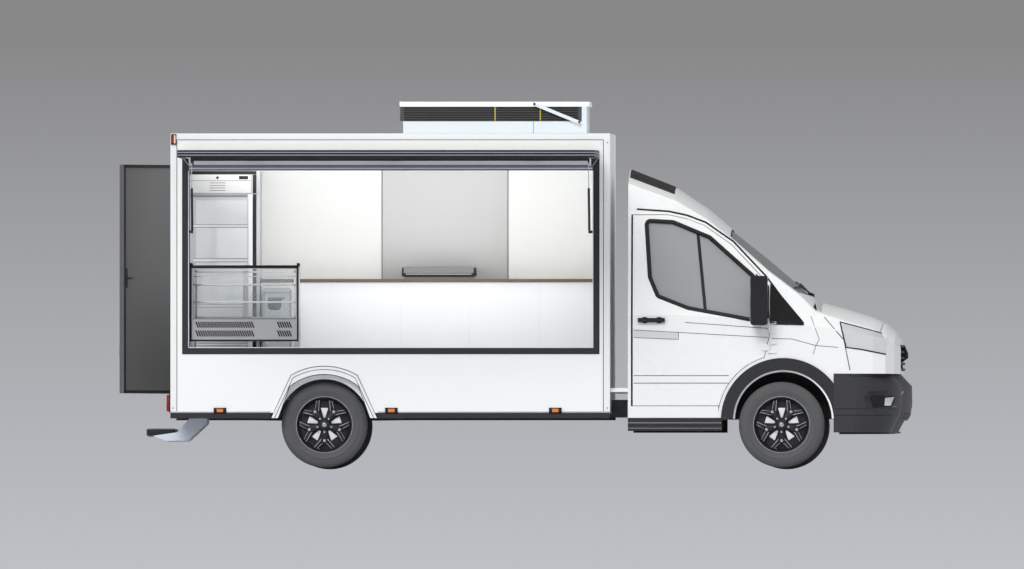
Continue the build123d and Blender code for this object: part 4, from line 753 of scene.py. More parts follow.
    def lay(self, skin: Skin, facing: Facing, outline: Sequence[Point], start: float,
            proud: float, depth: float = 6.0, pitch: float = 60.0) -> "Form":
        """Add a patch that follows a skin.

        Args:
            skin: Skin that the patch lies on.
            facing: Plane that its outline is drawn on.
            outline: Corners of the patch on that plane.
            start: Distance off the plane that the skin is looked for from.
            proud: Distance of the patch's face off the skin.
            depth: Thickness of the patch.
            pitch: Distance between the cuts that let it bend.

        Returns:
            This form.
        """
        patch = bmesh.new()
        patch.faces.new([patch.verts.new(facing.lift(a, b, 0)) for a, b in outline])
        for index in (0, 1):
            low, high = min(p[index] for p in outline), max(p[index] for p in outline)
            normal = facing.lift(*((1, 0), (0, 1))[index], 0)
            for cut in range(1, int((high - low) / pitch) + 1):
                bmesh.ops.bisect_plane(
                    patch, geom=patch.verts[:] + patch.edges[:] + patch.faces[:], dist=self.LEAST,
                    plane_co=normal * (low + cut * pitch), plane_no=normal,
                )
        for corner in patch.verts:
            corner.co = skin.hit(facing, facing.flat(corner.co), start, proud)
        drawn_out(patch, patch.faces[:], facing.lift(0, 0, -math.copysign(depth, start)))
        data = bpy.data.meshes.new(self.name)
        patch.to_mesh(data)
        patch.free()
        self.mesh.from_mesh(data)
        bpy.data.meshes.remove(data)
        return self

    def place(self, matrix: Matrix) -> "Form":
        """Move everything made so far."""
        bmesh.ops.transform(self.mesh, matrix=matrix, verts=self.mesh.verts[:])
        return self

    def finish(self, finish: Finish, body: str = "truck_body",
               slot: str | None = None) -> bpy.types.Object:
        """Turn the shape into a piece of the scene.

        Args:
            finish: Finish of the whole piece.
            body: CAD body that it rides on.
            slot: Name of a material slot of the record; not used.

        Returns:
            The piece's object.
        """
        bmesh.ops.transform(self.mesh, matrix=TO_FRAME, verts=self.mesh.verts[:])
        bmesh.ops.recalc_face_normals(self.mesh, faces=self.mesh.faces[:])
        for face in self.mesh.faces:
            face.smooth = True
        for line in self.mesh.edges:
            line.smooth = len(line.link_faces) == 2 and line.calc_face_angle(0.0) < self.SHARP
        data = bpy.data.meshes.new(self.name)
        self.mesh.to_mesh(data)
        self.mesh.free()
        piece = bpy.data.objects.new(self.name, data)
        bpy.context.scene.collection.objects.link(piece)
        data.materials.append(finish.material())
        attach(piece, body)
        log.info("%s: %d faces on %s", self.name, len(data.polygons), body)
        return piece


# Wheels


@dataclass
class Wheel:
    """One road wheel: a treaded tyre on a black rim with five forked spokes."""

    place: str
    hand: int
    steps: int = 90
    crown: float = 84.0
    tread_margin: float = 2.0
    middle_half: float = 25.0
    grooves: tuple[float, ...] = (-30.0, 30.0)
    groove_depth: float = 8.0
    groove_half: float = 5.0
    groove_foot: float = 3.0
    block_gap: float = 5.0
    rim_half: float = 102.0
    spokes: int = 5
    first_spoke: float = 54.0
    fork: float = 9.0
    fork_end: float = 15.0
    edge_turn: float = 3.4
    bolt_radius: float = 60.0
    stud_radius: float = 131.0
    body: str = field(init=False)
    axis: Vector = field(init=False)
    centre: Vector = field(init=False)
    tyre_radius: float = field(init=False)
    tyre_half: float = field(init=False)
    rim_radius: float = field(init=False)

    def __post_init__(self) -> None:
        """Read the wheel's place and size from its CAD nodes."""
        x, y, z = (node_span(f"tyre_{self.place}", axis) for axis in range(3))
        rim = node_span(f"rim_{self.place}", 2)
        self.body = f"wheel_{self.place}"
        self.axis = Vector((0, self.hand, 0))
        self.centre = Vector([sum(span) / 2 for span in (x, y, z)])
        self.tyre_radius, self.tyre_half = (z[1] - z[0]) / 2, (y[1] - y[0]) / 2
        self.rim_radius = (rim[1] - rim[0]) / 2

    def build(self) -> None:
        """Make the tyre, then the rim with its spokes."""
        self._tyre()
        self._rim()

    def _ring(self, form: Form, profile: Sequence[Point], steps: int) -> Form:
        """Add a profile spun about the axle."""
        return form.turned(profile, self.centre, self.axis, steps)

    def _tyre(self) -> None:
        """Carcass with grooved tread, cut into blocks, and ringed side walls."""
        outer, half, bead = self.tyre_radius, self.tyre_half, self.rim_radius
        wall = [
            (bead, -self.rim_half), (bead + 22, -half + 8), (bead + 40, -half),
            (bead + 46, -half), (bead + 50, -half + 3), (bead + 78, -half + 4),
            (outer - 18, -half + 12), (outer - 5, -self.crown - 6), (outer, -self.crown),
        ]
        floor = outer - self.groove_depth
        groove = ((outer, -self.groove_half), (floor, -self.groove_foot),
                  (floor, self.groove_foot), (outer, self.groove_half))
        tread = [(radius, middle + off) for middle in self.grooves for radius, off in groove]
        other_wall = [(radius, -along) for radius, along in reversed(wall)]
        form = Form(f"tyre_tread_{self.place}")
        self._ring(form, wall + tread + other_wall, self.steps)
        self._cut_blocks(form)
        tyre = form.finish(RUBBER, self.body, "tyre")
        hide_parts(f"tyre_{self.place}")

    def _cut_blocks(self, form: Form) -> None:
        """Sink every third stretch of the shoulder and middle ribs to part the tread blocks."""
        chosen = []
        for face in form.mesh.faces:
            spot = face.calc_center_median() - self.centre
            on_tread = math.hypot(spot.x, spot.z) >= self.tyre_radius - self.tread_margin
            step = round(math.degrees(math.atan2(spot.z, spot.x)) / (360 / self.steps) - 0.5)
            turn = 1 if abs(spot.y) < self.middle_half else 0
            if on_tread and abs(spot.y) <= self.crown and step % 3 == turn:
                chosen.append(face)
        bmesh.ops.inset_individual(form.mesh, faces=chosen, thickness=self.block_gap, depth=0.0)
        for face in chosen:
            spot = face.calc_center_median() - self.centre
            inward = Vector((-spot.x, 0, -spot.z)).normalized() * self.block_gap
            bmesh.ops.translate(form.mesh, vec=inward, verts=list(face.verts))

    def _rim(self) -> None:
        """Barrel and lip, the spokes, and the bright ring on the lip."""
        lip, half = self.rim_radius, self.rim_half
        barrel = self._ring(Form(f"rim_barrel_{self.place}"), (
            (lip, -half), (lip, half), (lip - 6, half + 2), (lip - 13, half - 2),
            (lip - 16, half - 20), (lip - 30, half - 34), (lip - 30, -half + 20),
            (lip - 16, -half + 2),
        ), self.steps)
        piece = barrel.finish(RIM_BLACK, self.body, "rim_black")
        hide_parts(f"rim_{self.place}")
        self._spokes()
        ring = self._ring(Form(f"rim_bright_ring_{self.place}"), (
            (lip - 8, half + 1.0), (lip - 6, half + 3.2), (lip - 3, half + 3.2),
            (lip - 1, half + 0.5),
        ), self.steps)
        ring.finish(RIM_BRIGHT, self.body, "rim_black")

    def _spokes(self) -> None:
        """Forked spokes, windows, studs and hub, with the brake disc behind them."""
        spokes, windows, bright, brake = (Form(f"{name}_{self.place}") for name in (
            "rim_spokes", "rim_windows", "rim_spoke_edges", "brake_disc"))
        pitch = 360 / self.spokes
        for index in range(self.spokes):
            axis = self.first_spoke + pitch * index
            self._web(spokes, axis, ((36, 13), (60, 17), (140, 27)), (54, 84))
            self._web(windows, axis + pitch / 2, ((58, 8), (139, 31)), (44, 53))
            for side in (-1, 1):
                start = axis + side * self.fork
                stop = axis + side * (pitch / 2 - self.fork_end)
                self._rib(spokes, start, stop, (118, 208), 13, (50, 84))
                for way, near, half in ((side, 122, 2.4), (-side, 150, 1.8)):
                    shift = way * self.edge_turn
                    self._rib(bright, start + shift, stop + shift, (near, 204), half, (83, 86.5))
            # Radius of the circle, radius of the stud, its depths, its edge and its sides
            for circle, radius, out, edge, sides in ((self.bolt_radius, 9.5, (80, 95), 2, 6),
                                                     (self.stud_radius, 13, (82, 90), 3, 24)):
                spot = self._face_point(circle, axis)
                bright.bar(Facing.SIDE, (spot.x, spot.z), radius, self._depths(out), edge, sides)
        for form, profile, steps in (
            (spokes, ((0, 40), (44, 40), (46, 80), (40, 86), (24, 88), (22, 94), (0, 95)), 48),
            (spokes, ((40, 38), (202, 34), (202, 42), (40, 48)), 60),
            (bright, ((0, 94), (19, 94), (19, 98), (15, 100), (0, 100)), 40),
            (brake, ((62, -34), (150, -34), (150, -18), (62, -18)), 64),
            (brake, ((0, -45), (72, -45), (72, 40), (0, 40)), 48),
        ):
            self._ring(form, profile, steps)
        for form, finish in ((spokes, RIM_BLACK), (bright, RIM_BRIGHT), (windows, WINDOW_GREY),
                             (brake, DARK_STEEL)):
            form.finish(finish, self.body, "rim_black")

    def _face_point(self, radius: float, turn: float) -> Vector:
        """Point on the wheel's middle plane from its radius and angle."""
        angle = math.radians(turn)
        return self.centre + Vector((radius * math.cos(angle), 0, radius * math.sin(angle)))

    def _depths(self, out: Span) -> Span:
        """Limits off the centre plane from limits outward of the wheel's middle."""
        return tuple(self.centre.y + self.hand * depth for depth in out)

    def _web(self, form: Form, turn: float, stations: Sequence[Point], out: Span) -> None:
        """Tapered spoke along one direction: half width at each radius, between two depths."""
        along = Vector((math.cos(math.radians(turn)), 0, math.sin(math.radians(turn))))
        aside = Vector((-along.z, 0, along.x))
        corners = [along * r + aside * w for r, w in stations]
        corners += [along * r - aside * w for r, w in reversed(stations)]
        self._plate(form, corners, out, 4)

    def _rib(self, form: Form, start: float, stop: float, radii: Span, half: float,
             out: Span) -> None:
        """Straight rib of even width between two points given by radius and angle."""
        first, last = (self._face_point(r, t) - self.centre for r, t in zip(radii, (start, stop)))
        run = (last - first).normalized()
        aside = Vector((-run.z, 0, run.x)) * half
        corners = (first + aside, last + aside, last - aside, first - aside)
        self._plate(form, corners, out, min(3, half / 3))

    def _plate(self, form: Form, corners: Iterable[Vector], out: Span, edge: float) -> None:
        """Flat plate square to the axle, from corners about the hub."""
        outline = [(self.centre.x + p.x, self.centre.z + p.z) for p in corners]
        form.prism(Facing.SIDE, outline, self._depths(out), edge)


# Kitchen body


def finish_all(*pieces: tuple[Form, Finish], body: str = "truck_body") -> None:
    """Finish a set of forms on one body."""
    for form, finish in pieces:
        form.finish(finish, body)


@dataclass
class BoxTrim:
    """Seams, bottom strips and corner fittings of the kitchen body."""

    front: float = 2343.0
    posts: Span = (-1208.0, 2290.0)
    top_seam: float = 2687.0
    bottom: float = 448.0
    roof: float = 2740.0
    roof_joints: tuple[float, ...] = (-60.0, 400.0)
    rear_seam: Span = (1031.0, 1036.0)
    arch_foot: float = 441.0
    seam_half: float = 2.5
    proud: float = 1.5
    sunk: float = 6.0

    def build(self) -> None:
        """Make the seams on both side walls, the rear wall and the roof."""
        seams, strips, caps = Form("box_seams"), Form("bottom_strips"), Form("corner_bolts")
        half, low = self.seam_half, self.bottom
        rear_wall = (REAR_WALL - self.proud, REAR_WALL + self.sunk)
        roof = (self.roof - 5, self.roof + self.proud)
        for hand in HANDS:
            wall = (hand * (WALL - self.sunk), hand * (WALL + self.proud))
            for x in self.posts:
                seams.slab(around(x, half), wall, (low + 14, self.top_seam))
            seams.slab(self.posts, wall, around(self.top_seam, half))
            strip_wall = (wall[0], hand * (WALL + 2.5))
            for run in ((REAR_WALL + 1, -self.arch_foot), (self.arch_foot, self.front - 1)):
                strips.slab(run, strip_wall, (low, low + 11), edge=1)
            cap_wall = (hand * (WALL - 4), hand * (WALL + 3))
            for x in (REAR_WALL + 20, self.front - 20):
                for z in (low + 40, self.roof - 75):
                    caps.bar(Facing.SIDE, (x, z), 7, cap_wall, edge=1.5, steps=20)
            edge = tuple(hand * y for y in self.rear_seam)
            seams.slab(rear_wall, edge, (low + 14, self.roof - 44))
            seams.slab(self.posts, edge, roof)
        seams.slab(rear_wall, around(0, sum(self.rear_seam) // 2), around(self.roof - 46, half))
        for x in self.roof_joints:
            seams.slab(around(x, half), around(0, self.rear_seam[0]), roof)
        finish_all((seams, SEAM_BLACK), (strips, SILVER_EDGE), (caps, SILVER_EDGE))
        self._flare_lines()
        self._arch_liners()

    def _flare_lines(self) -> None:
        """Dark lines along each rear arch flare: on its edge, and one inside that."""
        middle, inner, inset = 400.0, 380.0, 28.0
        lines = Form("flare_lines")
        for hand in HANDS:
            edge = rim_path("arch_flares", Vector((0, hand, 0)), 0.9, hand)
            lines.bead(edge, 3.2, closed=True)
            hub = Vector((0, edge[0].y, middle))
            outer = [p for p in edge if (p - hub).length > middle]
            outer.sort(key=lambda p: math.atan2(p.z - inner, p.x))
            lines.bead([p + (hub - p).normalized() * inset for p in outer], 2.6)
        lines.finish(SEAM_BLACK)

    def _arch_liners(self) -> None:
        """Pale lips inside the rear and front wheel arches."""
        liner = Form("arch_liners")
        for hand in HANDS:
            for centre, radii, turns, depth in (
                ((0, 351), (374, 452), (14, 166), (1034, 1028)),
                ((3765, 386), (398, 413), (2, 178), (1010, 1000)),
            ):
                liner.arch(centre, radii, turns, tuple(hand * y for y in depth))
        liner.finish(WHITE_MOULDING)


@dataclass
class HatchTrim:
    """Header bands, bright inner line, mitres and rubber seal of the serving hatch."""

    inside_x: Span = (-1109.0, 2202.0)
    inside_z: Span = (986.0, 2436.0)
    outside_x: Span = (-1159.0, 2252.0)
    outside_z: Span = (930.0, 2594.0)
    seal_depth: Span = (-1070.0, -1078.5)
    face: float = -1087.0
    proud: float = 2.5
    line: float = 6.0

    def build(self) -> None:
        """Make the trim on the hatch frame's face."""
        y = (self.face + 6, self.face - self.proud)
        (near, far), (low, high), line = self.inside_x, self.inside_z, self.line
        bright = Form("hatch_bright_line")
        for x, z in (((near - line, near), (low - line, high)),
                     ((far, far + line), (low - line, high)),
                     ((near - line, far + line), (low - line, low)),
                     ((near, far), (high + 9, high + 22))):
            bright.slab(x, y, z, edge=0.6, segments=1)
        for corner, side in ((near, -1), (far, 1)):
            mitre = [
                (corner + side * x, high + z) for x, z in ((0, 40), (4, 40), (44, 96), (40, 96))
            ]
            bright.prism(Facing.SIDE, mitre, y)
        dark = Form("hatch_header_shade")
        dark.slab((near, far), y, (high + 22, high + 43), edge=0.6, segments=1)
        pale = Form("hatch_header_band")
        pale.slab((near + 40, far - 40), y, (high + 45, high + 78), edge=0.8, segments=1)
        seal = Form("hatch_seal")
        (left, right), (foot, top) = self.outside_x, self.outside_z
        for x, z in (((left - 6, left), (foot, top)), ((right, right + 6), (foot, top)),
                     ((left - 6, right + 6), (foot, foot + 6))):
            seal.slab(x, self.seal_depth, z)
        finish_all((bright, PALE_LINE), (dark, BLUE_GREY), (pale, WHITE_MOULDING),
                   (seal, SEAM_BLACK))
        self._strut_pins()

    def _strut_pins(self) -> None:
        """Heads of the pins that the struts' barrels turn on."""
        for place, x in (("rear", -1082.0), ("front", 2175.0)):
            pin = Form(f"strut_pin_{place}")
            pin.bar(Facing.CROSS, (-1060, 1932), 7, around(x, 11.5), edge=1.5, steps=20)
            pin.finish(SILVER_EDGE, f"barrel_{place}")


@dataclass
class Lamps:
    """Housings of the side markers, the top markers, the rear lamps and the rear plate."""

    marker_x: tuple[float, ...] = (-855.0, 551.0, 1896.0)
    marker_half: float = 51.0
    marker_z: Span = (448.0, 489.0)
    top_x: Span = (-1255.0, -1214.0)
    top_z: Span = (2649.0, 2733.0)
    rear_y: Span = (916.0, 1024.0)
    rear_z: Span = (451.0, 604.0)
    bezel: float = 10.0
    insert: Span = (-1296.0, -1290.0)

    def build(self) -> None:
        """Make the lamps' housings and inserts on both sides and at the rear."""
        housing, red, cream = (Form(n) for n in (
            "lamp_housings", "top_marker_red", "top_marker_cream"))
        (low, high), (near, far), (foot, top) = self.marker_z, self.top_x, self.top_z
        reach = self.marker_half + 1
        for hand in HANDS:
            proud = (hand * (WALL - 2), hand * (WALL + 13.5))
            for middle in self.marker_x:
                for z in ((low - 1, low + 7), (high - 7, high + 1)):
                    housing.slab(around(middle, reach), proud, z, edge=2)
                for side in (-1, 1):
                    end = tuple(sorted((middle + side * 26, middle + side * reach)))
                    housing.slab(end, proud, (low - 1, high + 1), edge=2)
            housing.slab((near - 1, far + 1), proud, (foot - 1, top + 1), edge=3)
            lens = (hand * (WALL + 8), hand * (WALL + 15))
            red.slab((near + 4, near + 19), lens, (foot + 7, top - 7), edge=3)
            cream.slab((near + 22, far - 4), lens, (foot + 7, top - 7), edge=3)
        finish_all((housing, SEAM_BLACK), (red, LENS_RED), (cream, LENS_CREAM))
        self._rear()

    def _rear(self) -> None:
        """Bezels and inserts of the rear lamps, and the blank plate with its lamp."""
        bezel, amber, clear, red, plate, holder = (Form(n) for n in (
            "rear_bezels", "rear_amber", "rear_clear", "rear_reflex", "rear_plate",
            "rear_plate_frame"))
        (inner, outer), (low, high), wide = self.rear_y, self.rear_z, self.bezel
        face = (REAR_WALL - 13, REAR_WALL + 1)
        for hand in HANDS:
            for y in ((inner, inner + wide), (outer - wide, outer)):
                bezel.slab(face, (hand * y[0], hand * y[1]), (low, high), edge=2)
            for z in ((low, low + wide), (high - wide, high)):
                bezel.slab(face, (hand * inner, hand * outer), z, edge=2)
            for form, y in ((amber, (930, 968)), (clear, (972, 1010))):
                form.slab(self.insert, (hand * y[0], hand * y[1]), (540, 588), edge=2)
            red.bar(Facing.CROSS, (hand * 970, 500), 27, self.insert[::-1], edge=2, steps=40)
        plate.slab((-1268, -1264), (-260, 260), (462, 572), edge=1.5)
        holder.slab((-1265, -1260), (-266, 266), (456, 578), edge=2)
        holder.slab((-1284, -1262), (-60, 60), (580, 598), edge=4)
        finish_all((bezel, SEAM_BLACK), (amber, LENS_AMBER), (clear, LENS_CLEAR), (red, LENS_RED),
                   (plate, PLATE_BLANK), (holder, DEEP_BLACK))


@dataclass
class RearDoorTrim:
    """Seal, lock, hinge leaves and outer skin of the open rear door, in its own directions."""

    hinge: Point = (-1273.0, 382.0)
    angle: float = 35.0
    along: Span = (7.0, 757.0)
    depth: Span = (12.0, 57.0)
    z: Span = (615.0, 2491.0)
    seal: float = 26.0
    lock_z: float = 1560.0
    leaf_z: tuple[float, ...] = (790.0, 1418.0, 1561.0, 1705.0, 2336.0)
    pressing: Span = (70.0, 640.0)

    def build(self) -> None:
        """Make the door's trim and turn it to the door's angle."""
        (near, far), (low, high), (back, face) = self.along, self.z, self.depth
        seal, edge_line, lock, leaves, skin, panel = (Form(f"rear_door_{n}") for n in (
            "seal", "edge_line", "lock", "hinge_leaves", "skin", "pressing"))
        wide = self.seal
        for a in ((near + 2, near + wide), (far - wide, far - 2)):
            seal.slab(a, (face - 4, face + 3), (low + 2, high - 2), edge=2)
        for z in ((low + 2, low + wide), (high - wide, high - 2)):
            seal.slab((near + 2, far - 2), (face - 4, face + 3), z, edge=2)
        upright = (near + wide + 6, near + wide + 10)
        edge_line.slab(upright, (face - 8, face - 4), (low + 40, high - 40))
        edge_line.slab((near + 4, far - 4), (face - 30, face - 26), (high - 3, high - 0.5))
        mid = self.lock_z
        lock.slab((704, 728), (face - 7, face + 3), around(mid, 80), edge=4)
        lock.bar(Facing.SIDE, (716, mid), 15, (face, face + 9), edge=3, steps=32)
        lock.slab((640, 716), (face + 5, face + 11), around(mid, 7), edge=3)
        lock.bar(Facing.SIDE, (672, mid), 9, (face - 7, face + 4), edge=2, steps=24)
        for z in self.leaf_z:
            leaves.slab((12, 44), (face, face + 5), around(z, 11), edge=2)
        skin.slab((near + 1, far - 1), (back - 1.5, back + 2), (low + 1, high - 1), edge=1)
        for z in ((low + 110, 1500), (1600, high - 110)):
            panel.slab(self.pressing, (back - 5, back), z, edge=3)
        c, s = math.cos(math.radians(self.angle)), math.sin(math.radians(self.angle))
        x, y = self.hinge
        turn = Matrix(((-s, c, 0, x), (-c, -s, 0, y), (0, 0, 1, 0), (0, 0, 0, 1)))
        for form, finish in ((seal, SEAM_BLACK), (edge_line, SILVER_EDGE), (lock, DEEP_BLACK),
                             (leaves, SEAM_BLACK), (skin, WHITE_PANEL), (panel, WHITE_PANEL)):
            form.place(turn).finish(finish, "rear_door")


@dataclass
class RearStepTread:
    """Ribbed black tread over the rear step."""

    x: Span = (-1473.5, -1228.5)
    half_width: float = 381.5
    z: Span = (263.5, 322.5)
    ribs: int = 10
    margin: float = 12.0

    def build(self) -> None:
        """Make the tread with its ribs."""
        near, far = self.x
        wide, top = self.half_width, self.z[1]
        tread = Form("rear_step_tread_cover").slab(self.x, (-wide, wide), self.z, edge=6)
        pitch = (far - near - 2 * self.margin) / self.ribs
        for index in range(self.ribs):
            rib = around(near + self.margin + (index + 0.5) * pitch, 6)
            tread.slab(rib, (20 - wide, wide - 20), (top - 2, top + 3.5), edge=2)
        tread.finish(STEP_TREAD)


@dataclass
class RoofUnitTrim:
    """Louvres, straps, lid edges and stay pins of the roof unit."""

    band_x: Span = (612.0, 2100.0)
    band_z: Span = (2846.0, 2962.0)
    lid_x: Span = (607.0, 2160.0)
    base_x: Span = (635.0, 2100.0)
    half_width: float = 500.0
    louvres: int = 6
    strap_x: tuple[float, ...] = (1389.0, 1760.0)
    stay_pins: tuple[Point, ...] = ((2080.0, 2836.0), (1712.0, 2984.0))
    base_seam: float = 1703.0
    base_z: float = 2742.0

    def build(self) -> None:
        """Make the roof unit's fine parts."""
        slats, straps, lid, pins, seams = (Form(n) for n in (
            "roof_unit_louvres", "roof_unit_straps", "roof_unit_lid_edge", "roof_stay_pins",
            "roof_unit_seams"))
        (near, far), (low, high), (rear, front) = self.band_x, self.band_z, self.lid_x
        pitch = (high - low) / self.louvres
        for index in range(self.louvres):
            z = around(low + (index + 0.5) * pitch, pitch * 0.28)
            for hand in HANDS:
                slats.slab((near + 30, far - 30), (hand * 484, hand * 492), z, edge=2)
            slats.slab((near - 4, near + 6), (-470, 470), z, edge=2)
        wide = self.half_width
        for hand in HANDS:
            for x in self.strap_x:
                straps.slab(around(x, 5), (hand * 486, hand * 495), (low, high), edge=1)
            flank = (hand * (wide - 4), hand * (wide + 2))
            lid.slab(self.lid_x, flank, (high + 3, high + 40), edge=1)
            seam_wall = (hand * (wide - 4), hand * (wide + 1.2))
            seams.slab(around(self.base_seam, 2), seam_wall, (self.base_z, low - 2))
            seams.slab(self.base_x, seam_wall, (low - 4, low))
            for spot in self.stay_pins:
                pins.bar(Facing.SIDE, spot, 10, (hand * 528, hand * 534), edge=2, steps=28)
        for x in ((rear - 1.5, rear + 4), (front - 4, front + 1.5)):
            lid.slab(x, (-wide, wide), (high + 3, high + 40), edge=1)
        finish_all((slats, SEAM_BLACK), (straps, YELLOW_TAPE), (lid, WHITE_PANEL),
                   (pins, SEAM_BLACK), (seams, SHADE_GREY))


# Kitchen


@dataclass
class KitchenFittings:
    """Splash panel, ceiling lamps, griddle fittings, the bin's face and the worktop's edge."""

    splash_x: Span = (427.0, 1460.0)
    splash_z: Span = (1557.0, 2660.0)
    back_wall: float = 1035.0
    lamp_x: tuple[Span, ...] = ((-900.0, 300.0), (600.0, 1900.0))
    griddle_x: Span = (604.0, 1203.0)
    griddle_front: float = 480.0
    bin_x: Span = (-524.0, -302.0)
    bin_face: Span = (147.0, 152.0)
    bin_rim: float = 8.0
    grip: tuple[Point, ...] = (
        (-488, 1320), (-470, 1301), (-400, 1301), (-382, 1320), (-376, 1382), (-352, 1395),
        (-352, 1404), (-482, 1404), (-490, 1395),
    )
    worktop_x: Span = (-550.0, 2303.0)
    cupboard_x: tuple[float, ...] = (20.0, 590.0, 1160.0, 1730.0)
    cupboard_face: Span = (419.0, 422.0)

    def build(self) -> None:
        """Make the kitchen's small parts."""
        wall = self.back_wall
        splash = Form("splash_panel").slab(self.splash_x, (wall - 3, wall), self.splash_z, edge=1)
        joints = Form("splash_joints")
        for x in self.splash_x:
            joints.slab(around(x, 3), (wall - 4.5, wall), self.splash_z)
        foot = self.splash_z[0]
        joints.slab(self.worktop_x, (wall - 4, wall), (foot, foot + 5))
        lamps = Form("ceiling_lamps")
        for x in self.lamp_x:
            lamps.slab(x, (-80, -20), (2686, 2700), edge=4)
        finish_all((splash, SPLASH_PANEL), (joints, SEAM_BLACK), (lamps, LAMP_GLOW))
        self._griddle()
        self._bin()
        self._worktop()

    def _griddle(self) -> None:
        """Dark lower band with its bright line, rounded end caps, and the plate."""
        (near, far), front = self.griddle_x, self.griddle_front
        band, line, plate = (Form(f"griddle_{n}") for n in ("band", "bright_line", "plate"))
        band.slab((near + 8, far - 8), (front - 3, front + 20), (1576, 1606), edge=3)
        for x in ((near - 3, near + 14), (far - 14, far + 3)):
            band.slab(x, (front - 4, front + 440), (1580, 1650), edge=7)
        line.slab((near + 30, far - 30), (front - 5, front), (1594, 1600), edge=1)
        plate.slab((near + 26, far - 26), (front + 24, 906), (1650, 1658), edge=3)
        finish_all((band, SEAM_BLACK), (line, LIGHT_GREY), (plate, DARK_STEEL))

    def _bin(self) -> None:
        """Raised frame and dark grip of the waste bin."""
        rim, (near, far), wide = Form("waste_bin_frame"), self.bin_x, self.bin_rim
        for x in ((near, near + wide), (far - wide, far)):
            rim.slab(x, self.bin_face, (640, 1462), edge=1)
        rim.slab(self.bin_x, self.bin_face, (1440, 1448), edge=1)
        grip = Form("waste_bin_grip").prism(Facing.SIDE, self.grip, (151, 146), edge=2)
        finish_all((rim, SHADE_GREY), (grip, DARK_STEEL))

    def _worktop(self) -> None:
        """Rounded laminate edge along the worktop's front, and the gaps of the cupboards."""
        edge = Form("worktop_edge").slab(self.worktop_x, (392, 396), (1531, 1556), edge=1.5)
        gaps = Form("cupboard_gaps")
        for x in self.cupboard_x:
            gaps.slab(around(x, 0.8), self.cupboard_face, (700, 1524))
        gaps.slab(self.worktop_x, self.cupboard_face, (698, 700))
        finish_all((edge, COUNTER_TOP), (gaps, LIGHT_GREY))


@dataclass
class FridgeFront:
    """Header, vents, display and glass of the upright fridge."""

    front: float = 335.0
    x: Span = (-1133.0, -559.0)
    glass_x: Span = (-1104.0, -661.0)
    door_z: Span = (745.0, 2253.0)
    shelves: tuple[Span, ...] = (
        (1981.0, 2004.0), (1697.0, 1725.0), (1327.0, 1347.0), (1010.0, 1030.0),
    )
    vent_z: tuple[float, ...] = (2283.0, 2304.0, 2323.0, 2345.0)
    grip_x: Span = (-617.0, -587.0)

    def build(self) -> None:
        """Make the fridge's header, then its door."""
        front, (near, far) = self.front, self.x
        face, marks, lines = (front - 2, front + 3), (front - 4, front), (front - 3.2, front)
        panel, black, grey = (Form(f"fridge_{n}") for n in (
            "header_panel", "header_marks", "lines"))
        panel.slab((near + 2, far - 76), face, (2262, 2412), edge=1)
        black.slab((near, far - 28), face, (2414, 2442), edge=1)
        black.bar(Facing.SIDE, (-907, 2387), 11, marks, edge=1.5, steps=28)
        black.slab((-730, -656), marks, (2374, 2401), edge=2)
        black.slab(self.grip_x, face, (2260, 2412), edge=1)
        for z in self.vent_z:
            grey.slab((-971, -842), lines, around(z, 3), edge=1)
        grey.slab((near + 2, far - 76), lines, (2361, 2365))
        finish_all((panel, LIGHT_GREY), (black, SEAM_BLACK), (grey, SHADE_GREY))
        self._door(face)

    def _door(self, face: Span) -> None:
        """Glass, shelf edges, frame and dark grip strip, riding on the door."""
        (low, high), front = self.door_z, self.front
        glass, shelves, lines, bar, strip, grip = (Form(f"fridge_{n}") for n in (
            "glass", "shelf_edges", "shelf_lines", "door_bar", "door_strip", "door_grip"))
        glass.slab(self.glass_x, (front + 1, front + 12), (low + 42, high - 26), edge=1)
        for span in self.shelves:
            shelves.slab(self.glass_x, (front - 0.6, front + 4), span)
            for z in span:
                lines.slab(self.glass_x, (front - 1.4, front + 3), around(z, 2.5))
        bar.slab((self.x[0] + 2, self.glass_x[1]), face, (high - 26, high - 5), edge=2)
        strip.slab((-655, -620), face, (low + 4, high - 2), edge=1)
        grip.slab(self.grip_x, face, (low + 4, high - 2), edge=2)
        finish_all((glass, FRIDGE_GLASS), (shelves, LIGHT_GREY), (lines, SHADE_GREY),
                   (bar, SHADE_GREY), (strip, WHITE_MOULDING), (grip, SEAM_BLACK),
                   body="fridge_door")


